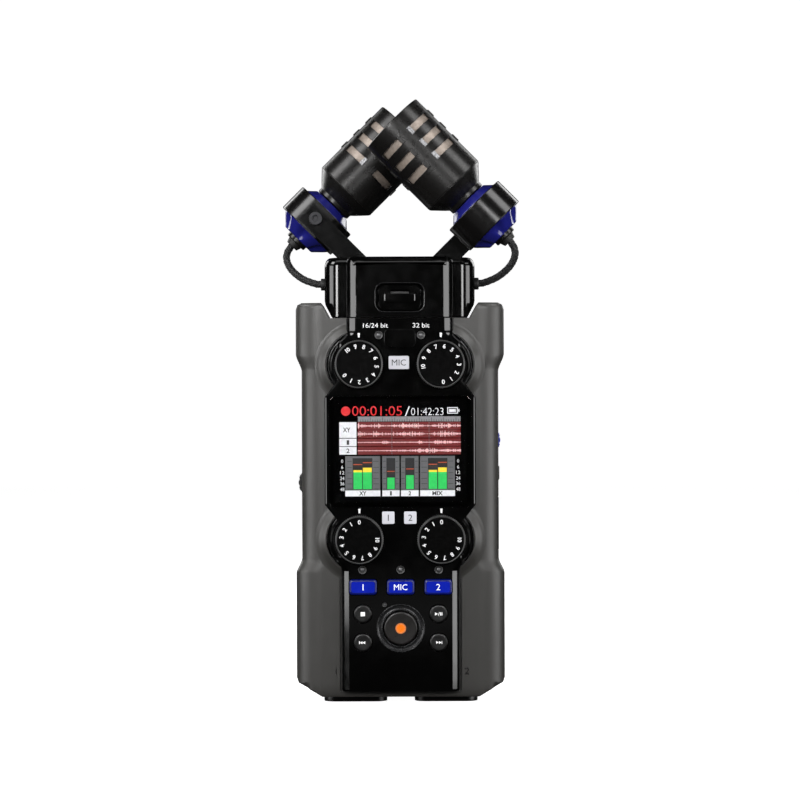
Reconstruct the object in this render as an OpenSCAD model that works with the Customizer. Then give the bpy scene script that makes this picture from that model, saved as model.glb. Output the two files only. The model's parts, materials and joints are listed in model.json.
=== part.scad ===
// Hand-held multitrack field recorder with a removable crossed-pair microphone capsule.
// The recorder stands upright on its two input collars. +Z is up, the front faces -Y.
// Millimetres. The origin is the middle of the footprint, on the surface it stands on.

/* [Case] */
// Half of the case width at its shoulders and at its foot
shell_half_w = 36.0; // [35.8:0.1:36.4]
// Half of the case width at the waist
waist_half_w = 34.0; // [33.9:0.1:34.2]
// Height of the shoulders above the surface
shoulder_z = 138.2; // [138.0:0.1:138.8]
// Depth of the case in front of the parting plane
front_depth = 17.0; // [16.9:0.1:17.1]
// Depth of the case behind the parting plane
rear_depth = 22.0; // [21.9:0.1:22.4]
// Thickness of the case walls
wall = 2.0; // [1.9:0.1:2.1]
// How far the glossy panel stands out of the case front
panel_rise = 3.5; // [3.4:0.1:3.6]

/* [Controls] */
// Radius of the four gain knobs
knob_r = 8.37; // [8.2:0.01:8.5]
// How far a gain knob stands out of the panel face
knob_rise = 4.1; // [3.6:0.1:4.1]
// Distance of each knob from the middle line
knob_x = 14.05; // [14.0:0.05:14.1]
// Height of the upper pair of knobs
knob_upper_z = 116.9; // [116.8:0.1:117.0]
// Height of the lower pair of knobs
knob_lower_z = 56.8; // [56.7:0.1:56.9]
// Radius of the record button
record_r = 5.65; // [5.5:0.05:5.7]
// Radius of the small transport buttons
transport_r = 3.05; // [2.9:0.05:3.1]
// Gap around every key in its hole
key_gap = 0.2; // [0.15:0.05:0.25]

/* [Capsule] */
// Half of the width of the capsule housing
capsule_half_w = 26.0; // [25.8:0.1:26.2]
// Height of the top of the capsule housing
capsule_top_z = 154.0; // [153.8:0.1:154.3]
// Radius of a microphone barrel
barrel_r = 12.0; // [11.9:0.05:12.1]
// Length of a microphone barrel
barrel_len = 30.4; // [30:0.1:31]
// Distance of each microphone axis in front of or behind the middle plane
mic_y = 12.7; // [12.6:0.05:12.8]
// Diameter of the braided microphone leads
cable_d = 2.4; // [2.2:0.1:2.5]

/* [Hidden] */
$fn = 64;

// depths along Y
yf = -front_depth;            // case front face
yw = yf + wall;               // inner side of the case front wall
yp = yf - panel_rise;         // glossy panel face
yb = rear_depth;              // case back face
board_y = -10.0;              // front of the main board
board_t = 1.6;
shell_mid_y = (yb + yf)/2;
shell_d = yb - yf;

// heights
foot_z = 2.5;                 // underside of the case, above the collars
split_z = 132.9;              // floor of the notch that takes the capsule
panel_top_z = 132.75;
cap_bot_z = 133.3;
screen_z = 87.2;

// control positions, as [x, z]
key_rows = [[-12.9, 40.5], [0, 40.5], [12.9, 40.5]];
stop_p = [-13, 31.3];
play_p = [13, 31.3];
rewind_p = [-13, 21.5];
forward_p = [13, 21.5];
record_p = [0, 26.4];
format_p = [0, 125.8];
led_row = [[-13.1, 46.4, 1.4], [0, 46.4, 1.4], [13.1, 46.4, 1.4], [-7.25, 126.9, 1.4], [7.25, 126.9, 1.4], [-5.5, 34.5, 0.8]];
knob_ps = [[-knob_x, knob_upper_z], [knob_x, knob_upper_z], [-knob_x, knob_lower_z], [knob_x, knob_lower_z]];
screw_ps = [[-30.4, 12], [30.4, 12], [-29.4, 127.5], [29.4, 127.5]];

// side controls
vol_z = 76.1;  vol_x = -28.8; vol_r = 6.6;
sel_z = 90.65; sel_x = 28.9;  sel_r = 6.0;
wheel_y0 = -6.0; wheel_y1 = -2.0;
power_z = 101.9;
menu_z = 79.2;
phones_z = 60; line_z = 92; jack_y = -5.4;
usb_z = 22;
door_z0 = 53; door_z1 = 71; door_hinge_y = -3.4;
cover_hinge_z = 107; cover_hinge_y = 20.8;

// input jacks
jack_x = 15.75; jack_cy = 3;

// microphone frame
ring_x = 29.3; ring_z = 168.2;

// route of the right-hand lead, from the tail of its microphone to its collar
lead_route = [[37.2, -12.7, 160.3], [38.6, -12.6, 158.9], [39.7, -12.3, 157.0], [40.0, -11.6, 155.0], [39.4, -10.5, 152.8], [38.0, -9.0, 150.6], [36.0, -7.2, 148.7], [33.6, -5.4, 147.1], [31.0, -3.6, 146.0], [29.0, -2.4, 145.4], [27.3, -2.0, 145.2]];

// ---------------------------------------------------------------- helpers
module xz(y0, y1) translate([0, y1, 0]) rotate([90, 0, 0]) linear_extrude(y1 - y0) children();
module yz(x0, x1) translate([x0, 0, 0]) rotate([90, 0, 90]) linear_extrude(x1 - x0) children();
module ycyl(x, z, r, y0, y1) translate([x, y1, z]) rotate([90, 0, 0]) cylinder(r = r, h = y1 - y0);
module xcyl(y, z, r, x0, x1) translate([x0, y, z]) rotate([0, 90, 0]) cylinder(r = r, h = x1 - x0);
module box(x0, x1, y0, y1, z0, z1) translate([x0, y0, z0]) cube([x1 - x0, y1 - y0, z1 - z0]);
module rrect(w, h, r) union() {
    square([w - 2*r, h], center = true);
    square([w, h - 2*r], center = true);
    for (sx = [-1, 1], sy = [-1, 1]) translate([sx*(w/2 - r), sy*(h/2 - r)]) circle(r = r);
}
module at_right_mic() translate([ring_x, -mic_y, ring_z]) rotate([0, -45, 0]) children();
module at_left_mic() translate([0, 2*mic_y, 0]) mirror([1, 0, 0]) at_right_mic() children();

// ---------------------------------------------------------------- case
module case_outline(i) polygon([
    [-27.0 + i*0.05, foot_z + i], [27.0 - i*0.05, foot_z + i], [35.3 - i*0.8, 7.2 + i*0.5], [shell_half_w - i, 8.8 + i*0.3],
    [shell_half_w - i, 45.1 - i*0.4], [waist_half_w - i, 50.0], [waist_half_w - i, 114.8], [shell_half_w - i, 120.4 + i*0.2],
    [shell_half_w - i, shoulder_z - 2.2 - i*0.6], [shell_half_w - 0.6 - i, shoulder_z - 0.7 - i], [shell_half_w - 2.0 - i, shoulder_z - i],
    [27.1 + i*0.6, shoulder_z - i], [24.2 + i*0.6, split_z - i], [-24.2 - i*0.6, split_z - i], [-27.1 - i*0.6, shoulder_z - i],
    [-shell_half_w + 2.0 + i, shoulder_z - i], [-shell_half_w + 0.6 + i, shoulder_z - 0.7 - i], [-shell_half_w + i, shoulder_z - 2.2 - i*0.6],
    [-shell_half_w + i, 120.4 + i*0.2], [-waist_half_w + i, 114.8], [-waist_half_w + i, 50.0], [-shell_half_w + i, 45.1 - i*0.4],
    [-shell_half_w + i, 8.8 + i*0.3], [-35.3 + i*0.8, 7.2 + i*0.5]]);

module case_solid(i, r) intersection() {
    xz(yf + i, yb - i) case_outline(i);
    linear_extrude(shoulder_z + 2) translate([0, shell_mid_y]) rrect(2*(shell_half_w - i), shell_d - 2*i, r);
}

module case_hollow() difference() { case_solid(0, 6); case_solid(wall, 4.2); }

module jack_holes() for (s = [-1, 1]) translate([s*jack_x, jack_cy, foot_z - 1]) cylinder(r = 9.7, h = wall + 2);
module dock_hole() box(-9.4, 9.4, -2.4, 4.4, split_z - wall - 1, split_z + 1);

module screen_hole(g, y0, y1) box(-22.8 - g, 22.8 + g, y0, y1, screen_z - 17.7 - g, screen_z + 17.7 + g);
module key_hole_2d(g) {
    for (p = key_rows) translate(p) rrect(9.36 + 2*g, 5.07 + 2*g, 1.0 + g);
    for (p = [stop_p, play_p, rewind_p, forward_p]) translate(p) circle(r = transport_r + g);
    translate(format_p) rrect(8.1 + 2*g, 4.4 + 2*g, 0.8 + g);
}

module front_shell() color([0.14, 0.14, 0.145]) difference() {
    union() {
        intersection() { case_hollow(); box(-40, 40, yf - 1, 0, 0, 145); }
        for (p = screw_ps) ycyl(p[0], p[1], 2.6, yw - 0.5, 0);
        // raised lips outside the knob rings
        for (p = knob_ps) difference() {
            ycyl(p[0], p[1], 13.0, yf - 0.9, yf + 0.5);
            ycyl(p[0], p[1], 11.4, yf - 2, yf + 1);
            box(-18.4, 18.4, yf - 2, yf, 20, 132);
            box(-26, 26, yf - 2, yf, 64.4, 110.6);
            box(-20.4, 20.4, yf - 2, yf, 20, 66);
        }
    }
    // openings behind the glossy panel
    screen_hole(0.4, yf - 1, yw + 1);
    xz(yf - 1, yw + 1) key_hole_2d(key_gap);
    for (p = knob_ps) ycyl(p[0], p[1], 3.5, yf - 1, yw + 1);
    ycyl(record_p[0], record_p[1], record_r + key_gap, yf - 1, yw + 1);
    // pilot holes for the case screws
    for (p = screw_ps) ycyl(p[0], p[1], 0.9, -8, 1);
    jack_holes();
    dock_hole();
    // left side: jacks, volume wheel, power slider and data port
    for (z = [phones_z, line_z]) xcyl(jack_y, z, 3.0, -38, -31);
    box(-38, -31, wheel_y0 - 0.3, wheel_y1 + 0.3, vol_z - 6.4, vol_z + 6.4);
    box(-38, -31, -6.3, -2.7, power_z - 0.3, power_z + 7.4);
    translate([-38, -6.8, usb_z]) rotate([90, 0, 90]) linear_extrude(6) rrect(3.8, 9.6, 1.8);
    // right side: select wheel, menu button, card slot and its door
    box(31, 38, wheel_y0 - 0.3, wheel_y1 + 0.3, sel_z - 5.7, sel_z + 5.7);
    box(31, 38, -6.2, -1.8, menu_z - 2.7, menu_z + 2.7);
    box(32.55, 38, -13.3, door_hinge_y + 0.9, door_z0 - 0.25, door_z1 + 0.25);
    box(31, 38, -9.2, -4.8, 55.5, 68.5);
    translate([33.4, door_hinge_y, door_z0 - 1.25]) cylinder(r = 0.55, h = door_z1 - door_z0 + 2.5);
}

module rear_shell() color([0.14, 0.14, 0.145]) difference() {
    union() {
        intersection() { case_hollow(); box(-40, 40, 0, yb + 1, 0, 145); }
        for (p = screw_ps) ycyl(p[0], p[1], 2.6, 0, yb - wall + 0.5);
        // shelf and ears behind the battery cover hinge
        box(-32.5, 32.5, 17.8, 19.3, 104.4, 109.5);
        for (s = [-1, 1]) box(s > 0 ? 30.6 : -32.5, s > 0 ? 32.5 : -30.6, 19.2, 20.2, 104.4, 109.5);
        // boss around the tripod insert
        ycyl(0, 35.5, 5.6, 14.2, yb - wall + 0.5);
    }
    // battery bay opening
    box(-30.6, 30.6, 19.6, yb + 1, 42.6, 104.5);
    box(-30.6, 30.6, 19.3, yb + 1, 104.4, 108.5);
    xcyl(cover_hinge_y, cover_hinge_z, 0.85, -31.6, 31.6);
    ycyl(0, 35.5, 4.2, 14.1, yb + 1);
    // case screw passages
    for (p = screw_ps) { ycyl(p[0], p[1], 1.15, -1, yb + 1); ycyl(p[0], p[1], 2.05, 6, yb + 1); }
    // sound slots over the loudspeaker
    for (k = [-3:3]) box(-8 + abs(k)*0.9, 8 - abs(k)*0.9, 15, yb + 1, 121 + k*2.6 - 0.6, 121 + k*2.6 + 0.6);
    jack_holes();
    dock_hole();
}

module panel_outline(k) union() {
    translate([-18.2 + k, 62]) square([36.4 - 2*k, panel_top_z - 62]);
    polygon([[-25.8 + k, 68.3], [-22.8 + k*0.6, 64.5], [22.8 - k*0.6, 64.5], [25.8 - k, 68.3], [25.8 - k, 106.4], [22.9 - k*0.6, 110.5], [-22.9 + k*0.6, 110.5], [-25.8 + k, 106.4]]);
    translate([-20.2 + k, 4.6 + k]) square([40.4 - 2*k, 61 - k]);
}

module front_panel() color([0.035, 0.035, 0.04]) difference() {
    union() {
        xz(yp + 1.1, yf) panel_outline(0);
        xz(yp, yp + 1.2) panel_outline(1.1);
        for (p = knob_ps) ycyl(p[0], p[1], 11.3, yf - 2.3, yf);
    }
    // wells round the knobs and holes for their shafts
    for (p = knob_ps) { ycyl(p[0], p[1], 9.3, yp - 1, yf - 0.9); ycyl(p[0], p[1], 3.5, yf - 2, yf + 1); }
    // window rebate and screen opening
    box(-24.45, 24.45, yp - 1, yp + 1.15, 67.75, 106.25);
    screen_hole(0, yp - 1, yf + 1);
    xz(yp - 1, yf + 1) key_hole_2d(key_gap);
    xz(yp - 1, yp + 0.5) translate(format_p) rrect(10.1, 5.5, 1.1);
    ycyl(record_p[0], record_p[1], 8.3, yp - 1, yp + 2);
    ycyl(record_p[0], record_p[1], record_r + key_gap, yp - 1, yf + 1);
    for (l = led_row) ycyl(l[0], l[1], l[2], yp - 1, yf + 1);
}

module display_window() color([0.05, 0.06, 0.07]) xz(yp - 0.05, yp + 1.15) translate([0, 87]) rrect(48.8, 38.4, 1.0);

module display_module() color([0.1, 0.1, 0.12]) union() {
    box(-22.5, 22.5, yp + 1.2, -16.2, screen_z - 17.4, screen_z + 17.4);
    for (x = [-19, 19], z = [screen_z - 14, screen_z + 14]) ycyl(x, z, 1.6, -16.4, board_y);
}

module main_board() color([0.04, 0.25, 0.12]) difference() {
    xz(board_y, board_y + board_t) polygon([[-30, 8], [30, 8], [30, 126], [22, 129], [-22, 129], [-30, 126]]);
    for (p = screw_ps) ycyl(p[0], p[1], 3.2, board_y - 1, board_y + board_t + 1);
}

module preamp_board() color([0.04, 0.25, 0.12]) union() {
    box(-27, 27, 1.2, 2.8, 36, 111);
    for (x = [-15, 15], z = [40, 106]) ycyl(x, z, 1.6, board_y + board_t, 1.3);
}

module control_pots() color([0.55, 0.55, 0.57]) for (p = knob_ps) difference() {
    box(p[0] - 5.5, p[0] + 5.5, yw, board_y, p[1] - 5.5, p[1] + 5.5);
    ycyl(p[0], p[1], 3.0, yw - 1, board_y - 0.3);
}

module input_jacks() color([0.05, 0.05, 0.055]) for (s = [-1, 1]) translate([s*jack_x, jack_cy, 0]) difference() {
    union() {
        translate([-10.9, -10.8, foot_z + wall]) cube([21.8, 21.6, 33 - foot_z - wall]);
        translate([0, 0, 1.0]) cylinder(r = 8.0, h = 6);
        translate([0, 0, foot_z + wall - 1.2]) difference() { cylinder(r = 9.68, h = 2); translate([0, 0, -1]) cylinder(r = 9.2, h = 5); }
    }
    difference() {
        translate([0, 0, 0]) cylinder(r = 9.2, h = 16);
        translate([0, 0, -1]) cylinder(r = 8.0, h = 20);
    }
    translate([0, 0, 0]) cylinder(r = 3.2, h = 31);
    for (a = [30, 150, 270]) rotate([0, 0, a]) translate([5.6, 0, 0]) cylinder(r = 1.25, h = 14);
}

module input_collars() color([0.03, 0.03, 0.03]) for (s = [-1, 1]) translate([s*jack_x, jack_cy, 0]) difference() {
    linear_extrude(foot_z) rrect(21.9, 21.9, 4);
    translate([0, 0, -1]) cylinder(r = 9.7, h = foot_z + 2);
}

module battery_tray() color([0.08, 0.08, 0.085]) difference() {
    box(-31.6, 31.6, 4.3, 19.6, 41.4, 104.2);
    box(-30.2, 30.2, 5.3, 21, 46.2, 101.8);
}

module battery_cells() color([0.75, 0.6, 0.2]) for (k = [0:3]) translate([-21.9 + 14.6*k, 12.5, k % 2 == 0 ? 49.8 : 100.3]) rotate([k % 2 == 0 ? 0 : 180, 0, 0]) union() {
    cylinder(r = 7.1, h = 49.4);
    translate([0, 0, 49]) cylinder(r = 2.7, h = 1.5);
}

module battery_contacts() color([0.8, 0.8, 0.8]) for (k = [0:3]) translate([-21.9 + 14.6*k, 12.5, 0]) {
    spring_low = k % 2 == 0;
    translate([0, 0, 46.2]) cylinder(r = spring_low ? 3.6 : 4.6, h = 3.6);
    translate([0, 0, 100.3]) cylinder(r = spring_low ? 4.6 : 3.6, h = 1.5);
}

module speaker_driver() color([0.12, 0.12, 0.12]) union() {
    ycyl(0, 121, 9.8, 17.0, 20.0);
    ycyl(0, 121, 6.0, 13.0, 17.2);
}

module tripod_insert() color([0.72, 0.58, 0.25]) difference() {
    ycyl(0, 35.5, 4.2, 14.2, yb);
    ycyl(0, 35.5, 3.0, 15.0, yb + 1);
}

module case_screws() color([0.3, 0.3, 0.32]) for (p = screw_ps) difference() {
    union() {
        ycyl(p[0], p[1], 1.9, 6.0, 8.0);
        ycyl(p[0], p[1], 0.9, -8, 6.2);
    }
    for (a = [0, 90]) translate([p[0], 8.0, p[1]]) rotate([0, a, 0]) cube([2.6, 1.6, 0.6], center = true);
}

module indicator_lenses() color([0.5, 0.05, 0.05]) for (l = led_row) ycyl(l[0], l[1], l[2], yp - 0.05, yf);

module record_bezel() color([0.05, 0.05, 0.055]) translate([record_p[0], yp, record_p[1]]) rotate([90, 0, 0]) rotate_extrude() polygon([[record_r + 0.25, -2.0], [8.3, -2.0], [8.3, 0.1], [7.6, 0.7], [6.9, 0.7], [6.2, -0.2], [record_r + 0.25, -0.5]]);

module capsule_socket() color([0.06, 0.06, 0.06]) difference() {
    box(-11.8, 11.8, -4.6, 6.6, 124.4, split_z - wall);
    box(-9.4, 9.4, -2.4, 4.4, 125.8, split_z);
}

module usb_port() color([0.7, 0.7, 0.72]) difference() {
    translate([-35.2, -6.8, usb_z]) rotate([90, 0, 90]) linear_extrude(7.4) rrect(3.2, 9.0, 1.5);
    difference() {
        translate([-36, -6.8, usb_z]) rotate([90, 0, 90]) linear_extrude(6.6) rrect(2.6, 8.4, 1.2);
        box(-34.4, -28, -7.15, -6.45, usb_z - 3.3, usb_z + 3.3);
    }
}

module card_socket() color([0.7, 0.7, 0.72]) difference() {
    box(19, 31.8, board_y + board_t, board_y + board_t + 2.0, 55, 69);
    box(20, 33, board_y + board_t + 0.5, board_y + board_t + 1.5, 56.4, 67.6);
}

module audio_jacks() color([0.05, 0.05, 0.05]) for (z = [phones_z, line_z]) difference() {
    union() {
        box(-31.9, -19, board_y + board_t, jack_y + 3, z - 3.2, z + 3.2);
        xcyl(jack_y, z, 2.9, -33.8, -31.5);
    }
    xcyl(jack_y, z, 1.8, -35, -20.5);
}

module key_switches() color([0.2, 0.2, 0.2]) union() {
    for (p = concat(key_rows, [stop_p, play_p, rewind_p, forward_p, record_p, format_p])) box(p[0] - 2.1, p[0] + 2.1, -13.0, board_y, p[1] - 2.1, p[1] + 2.1);
    // menu key switch and power slide switch, on the back of the board
    box(25.8, 29.2, board_y + board_t, -2.2, menu_z - 2.4, menu_z + 2.4);
    box(-30.6, -26.6, board_y + board_t, -2.6, power_z - 1.5, power_z + 8.6);
}

module wheel_encoders() color([0.6, 0.6, 0.6]) {
    ycyl(vol_x, vol_z, 3.0, board_y + board_t, wheel_y0 - 0.3);
    ycyl(vol_x, vol_z, 0.95, wheel_y0 - 0.4, wheel_y1 + 0.4);
    ycyl(sel_x, sel_z, 3.0, board_y + board_t, wheel_y0 - 0.3);
    ycyl(sel_x, sel_z, 0.95, wheel_y0 - 0.4, wheel_y1 + 0.4);
}

// ---------------------------------------------------------------- controls
module gain_knob(p) translate([p[0], 0, p[1]]) color([0.03, 0.03, 0.03]) difference() {
    union() {
        translate([0, yf - 1.2, 0]) rotate([90, 0, 0]) cylinder(r = knob_r, h = knob_rise + panel_rise - 1.2 - 0.6);
        translate([0, yp - knob_rise + 0.6, 0]) rotate([90, 0, 0]) cylinder(r1 = knob_r, r2 = knob_r - 0.6, h = 0.6);
        ycyl(0, 0, 2.95, yf - 1.4, board_y - 0.6);
    }
    for (a = [0:20:359]) rotate([0, a, 0]) translate([knob_r + 0.1, yp + 1, 0]) rotate([90, 0, 0]) cylinder(r = 0.35, h = 3.6);
}

module button_round(p, r, flange) color([0.05, 0.05, 0.05]) union() {
    ycyl(p[0], p[1], r, yp - 0.45, -14.2);
    ycyl(p[0], p[1], r + flange, -14.6, -13.9);
}
module button_rect(p, w, h, r, c, rise) color(c) union() {
    xz(yp - rise, -14.2) translate(p) rrect(w, h, r);
    xz(-14.6, -13.9) translate(p) rrect(w + 1.4, h + 1.4, r);
}

module knob_mic_left() gain_knob(knob_ps[0]);
module knob_mic_right() gain_knob(knob_ps[1]);
module knob_input_1() gain_knob(knob_ps[2]);
module knob_input_2() gain_knob(knob_ps[3]);
module format_button() button_rect(format_p, 8.1, 4.4, 0.8, [0.04, 0.04, 0.04], 0.1);
module track_button_1() button_rect(key_rows[0], 9.36, 5.07, 1.0, [0.04, 0.15, 0.85], 0.45);
module track_button_mic() button_rect(key_rows[1], 9.36, 5.07, 1.0, [0.04, 0.15, 0.85], 0.45);
module track_button_2() button_rect(key_rows[2], 9.36, 5.07, 1.0, [0.04, 0.15, 0.85], 0.45);
module record_button() color([0.06, 0.06, 0.06]) difference() {
    union() {
        ycyl(record_p[0], record_p[1], record_r, yp - 0.9, -14.2);
        ycyl(record_p[0], record_p[1], record_r + 0.9, -14.6, -13.9);
    }
    translate([record_p[0], yp - 19.9, record_p[1]]) sphere(r = 19.3);
}
module stop_button() button_round(stop_p, transport_r, 0.9);
module play_button() button_round(play_p, transport_r, 0.9);
module rewind_button() button_round(rewind_p, transport_r, 0.9);
module forward_button() button_round(forward_p, transport_r, 0.9);

module side_wheel(x, z, r, c) color(c) difference() {
    ycyl(x, z, r, wheel_y0, wheel_y1);
    ycyl(x, z, 1.0, wheel_y0 - 1, wheel_y1 + 1);
    for (a = [0:20:359]) translate([x, 0, z]) rotate([0, a, 0]) translate([r + 0.15, wheel_y1 + 0.5, 0]) rotate([90, 0, 0]) cylinder(r = 0.4, h = wheel_y1 - wheel_y0 + 1);
}
module volume_wheel() side_wheel(vol_x, vol_z, vol_r, [0.04, 0.04, 0.04]);
module select_wheel() side_wheel(sel_x, sel_z, sel_r, [0.05, 0.06, 0.45]);

module power_slider() color([0.05, 0.05, 0.05]) difference() {
    box(-34.2, -31.0, -6.0, -3.0, power_z, power_z + 4.0);
    for (k = [1:3]) box(-36, -33.9, -7, -2, power_z + k - 0.2, power_z + k + 0.2);
}
module menu_button() color([0.05, 0.05, 0.05]) union() {
    box(30.2, 34.5, -5.9, -2.1, menu_z - 2.4, menu_z + 2.4);
}

module battery_cover() color([0.13, 0.13, 0.135]) difference() {
    union() {
        box(-30.3, 30.3, 20.2, yb, 42.9, cover_hinge_z);
        xcyl(cover_hinge_y, cover_hinge_z, 1.2, -30.3, 30.3);
        xcyl(cover_hinge_y, cover_hinge_z, 0.8, -31.4, 31.4);
    }
    for (k = [0:5]) box(-9, 9, yb - 0.5, yb + 1, 48 + k*1.8, 48.8 + k*1.8);
}

module card_door() color([0.06, 0.06, 0.06]) union() {
    box(32.8, 34.0, -13.0, door_hinge_y, door_z0, door_z1);
    translate([33.4, door_hinge_y, door_z0]) cylinder(r = 0.6, h = door_z1 - door_z0);
    translate([33.4, door_hinge_y, door_z0 - 1.0]) cylinder(r = 0.5, h = door_z1 - door_z0 + 2.0);
}

// ---------------------------------------------------------------- capsule
module capsule_outline() polygon([
    [-23.5, cap_bot_z], [23.5, cap_bot_z], [25.7, 137.6], [capsule_half_w, 139.0], [capsule_half_w, capsule_top_z - 3.6],
    [capsule_half_w - 0.7, capsule_top_z - 1.7], [capsule_half_w - 2.1, capsule_top_z - 0.5], [capsule_half_w - 4, capsule_top_z],
    [-capsule_half_w + 4, capsule_top_z], [-capsule_half_w + 2.1, capsule_top_z - 0.5], [-capsule_half_w + 0.7, capsule_top_z - 1.7],
    [-capsule_half_w, capsule_top_z - 3.6], [-capsule_half_w, 139.0], [-25.7, 137.6]]);

module capsule_solid(y0, y1) union() {
    intersection() {
        xz(y0, y1) capsule_outline();
        translate([0, 2, cap_bot_z]) linear_extrude(capsule_top_z - cap_bot_z) rrect(2*capsule_half_w, 32, 5);
    }
}

module arm_bar() translate([-ring_x, 0, ring_z]) rotate([0, 45, 0]) translate([-4.2, -1.6, -4.4]) cube([31.5, 3.2, 7.4]);

module collar_holes() for (s = [-1, 1]) xcyl(-2*s, 145.2, 1.7, s > 0 ? 20 : -28, s > 0 ? 28 : -20);

module capsule_front_housing() color([0.03, 0.03, 0.03]) difference() {
    union() {
        capsule_solid(-14, 2);
        intersection() {
            translate([0, -14.5, cap_bot_z - 0.15]) linear_extrude(capsule_top_z - cap_bot_z + 0.15) rrect(36.4, -2*(yp + 14.5), 3.2);
            xz(yp, -12) union() {
                translate([0, (cap_bot_z + capsule_top_z)/2 - 0.07]) rrect(36.4, capsule_top_z - cap_bot_z + 0.15, 2.8);
                translate([-18.2, cap_bot_z - 0.15]) square([36.4, 8]);
            }
        }
    }
    box(-22, 22, -11.5, 2.1, 135.3, 151.6);
    box(-14, 14, -17.2, -11, 135.6, 145.5);
    // finger recess and the slot of the latch
    xz(yp - 1, yp + 2.2) translate([0, 139.9]) rrect(15.8, 9.2, 2.6);
    box(-3.2, 3.2, yp, -16, 138.3, 142.6);
    box(-9, 9, -2, 4, 130, 136);
    rotate([0, 0, 0]) arm_bar();
    rotate([0, 0, 180]) arm_bar();
    collar_holes();
}

module capsule_rear_housing() color([0.03, 0.03, 0.03]) difference() {
    capsule_solid(2, 18);
    box(-22, 22, 1, 16, 135.3, 151.6);
    box(-9, 9, -2, 4, 130, 136);
    collar_holes();
}

module capsule_latch() color([0.05, 0.05, 0.05]) union() {
    box(-5.5, 5.5, yp + 0.5, yp + 1.9, 138.2, 141.2);
    box(-2.9, 2.9, yp + 1.5, -16.0, 138.6, 140.8);
    box(-5, 5, -16.4, -15.0, 136.5, 142.0);
}

module capsule_plug() color([0.08, 0.08, 0.08]) union() {
    box(-9, 9, -2, 4, 126.6, 135.4);
    box(-12, 12, -4, 6, 135.3, 137.3);
}

module mic_arm() color([0.05, 0.05, 0.05]) difference() {
    arm_bar();
    // channel between the two rails on the outer side
    translate([-ring_x, 0, ring_z]) rotate([0, 45, 0]) translate([-2.8, -2.6, -3.1]) cube([24, 1.8, 4.8]);
    ycyl(-ring_x, ring_z, 2.45, -3, -0.8);
    ycyl(-ring_x, ring_z, 1.1, -3, 3);
}
module mic_arm_left() mic_arm();
module mic_arm_right() rotate([0, 0, 180]) mic_arm();

module arm_screws() color([0.1, 0.1, 0.1]) for (a = [0, 180]) rotate([0, 0, a]) difference() {
    union() {
        ycyl(-ring_x, ring_z, 2.3, -2.3, -0.8);
        ycyl(-ring_x, ring_z, 1.1, -0.9, 2.4);
    }
    translate([-ring_x, -1.4, ring_z]) rotate([90, 0, 0]) cylinder(r = 1.1, h = 2, $fn = 6);
}

module ring_local() difference() {
    translate([0, 0, -5.1]) cylinder(r = barrel_r, h = 10.2);
    translate([0, 0, -6]) cylinder(r = 10.0, h = 12);
}
module mount_ring_right() color([0.04, 0.04, 0.04]) difference() {
    at_right_mic() ring_local();
    box(10, 50, -1.6, 3, 150, 185);
    ycyl(ring_x, ring_z, 1.1, -2.4, 3);
}
module mount_ring_left() color([0.04, 0.04, 0.04]) difference() {
    at_left_mic() ring_local();
    box(-50, -10, -3, 1.6, 150, 185);
    ycyl(-ring_x, ring_z, 1.1, -3, 2.4);
}

module suspension_local() difference() {
    rotate_extrude() polygon([[4.0, -9.3], [6.65, -9.3], [10.6, -5.1], [10.0, -5.1], [10.0, 5.1], [7.25, 7.7], [4.0, 7.7]]);
    for (a = [0:60:359]) rotate([0, 0, a]) translate([7.4, -1.6, -9.4]) cube([5, 3.2, 4.2]);
}
module suspension_mounts() color([0.08, 0.08, 0.55]) { at_right_mic() suspension_local(); at_left_mic() suspension_local(); }

module slot_arc(r0, r1, a0, a1, z, h) rotate([0, 0, a0]) rotate_extrude(angle = a1 - a0) translate([r0, z - h/2]) square([r1 - r0, h]);
module barrel_local() difference() {
    union() {
        difference() {
            translate([0, 0, 14.7]) cylinder(r = barrel_r, h = barrel_len);
            translate([0, 0, 14]) cylinder(r = 11.2, h = barrel_len - 0.7);
        }
        for (k = [0:2], a = [-79, -101, -7, 187]) slot_arc(11.3, 12.42, a - 3.4, a + 3.4, 26.1 + 6*k, 3.0);
    }
    for (k = [0:2], s = [[-75, -29], [-151, -105], [-3, 43], [137, 183], [67, 113]]) slot_arc(10.5, 13, s[0], s[1], 26.1 + 6*k, 2.6);
}
module mic_barrel_left() color([0.04, 0.04, 0.04]) at_left_mic() barrel_local();
module mic_barrel_right() color([0.04, 0.04, 0.04]) at_right_mic() barrel_local();

module tail_local() rotate_extrude() polygon([[0, -10.8], [4.0, -10.8], [4.0, 7.9], [7.1, 7.9], [7.1, 9.7], [barrel_r, 14.7], [11.2, 14.7], [11.2, 17.0], [0, 17.0]]);
module mic_tails() color([0.04, 0.04, 0.04]) { at_right_mic() tail_local(); at_left_mic() tail_local(); }

module mesh_local() difference() {
    translate([0, 0, 23.0]) cylinder(r = 11.2, h = 18.2);
    translate([0, 0, 22]) cylinder(r = 10.8, h = 21);
}
module mic_meshes() color([0.7, 0.65, 0.6]) { at_right_mic() mesh_local(); at_left_mic() mesh_local(); }

module element_local() union() {
    translate([0, 0, 34]) cylinder(r = 8.5, h = 9.5);
    translate([0, 0, 17.0]) cylinder(r = 3.0, h = 17.5);
}
module mic_elements() color([0.6, 0.55, 0.3]) { at_right_mic() element_local(); at_left_mic() element_local(); }

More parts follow.
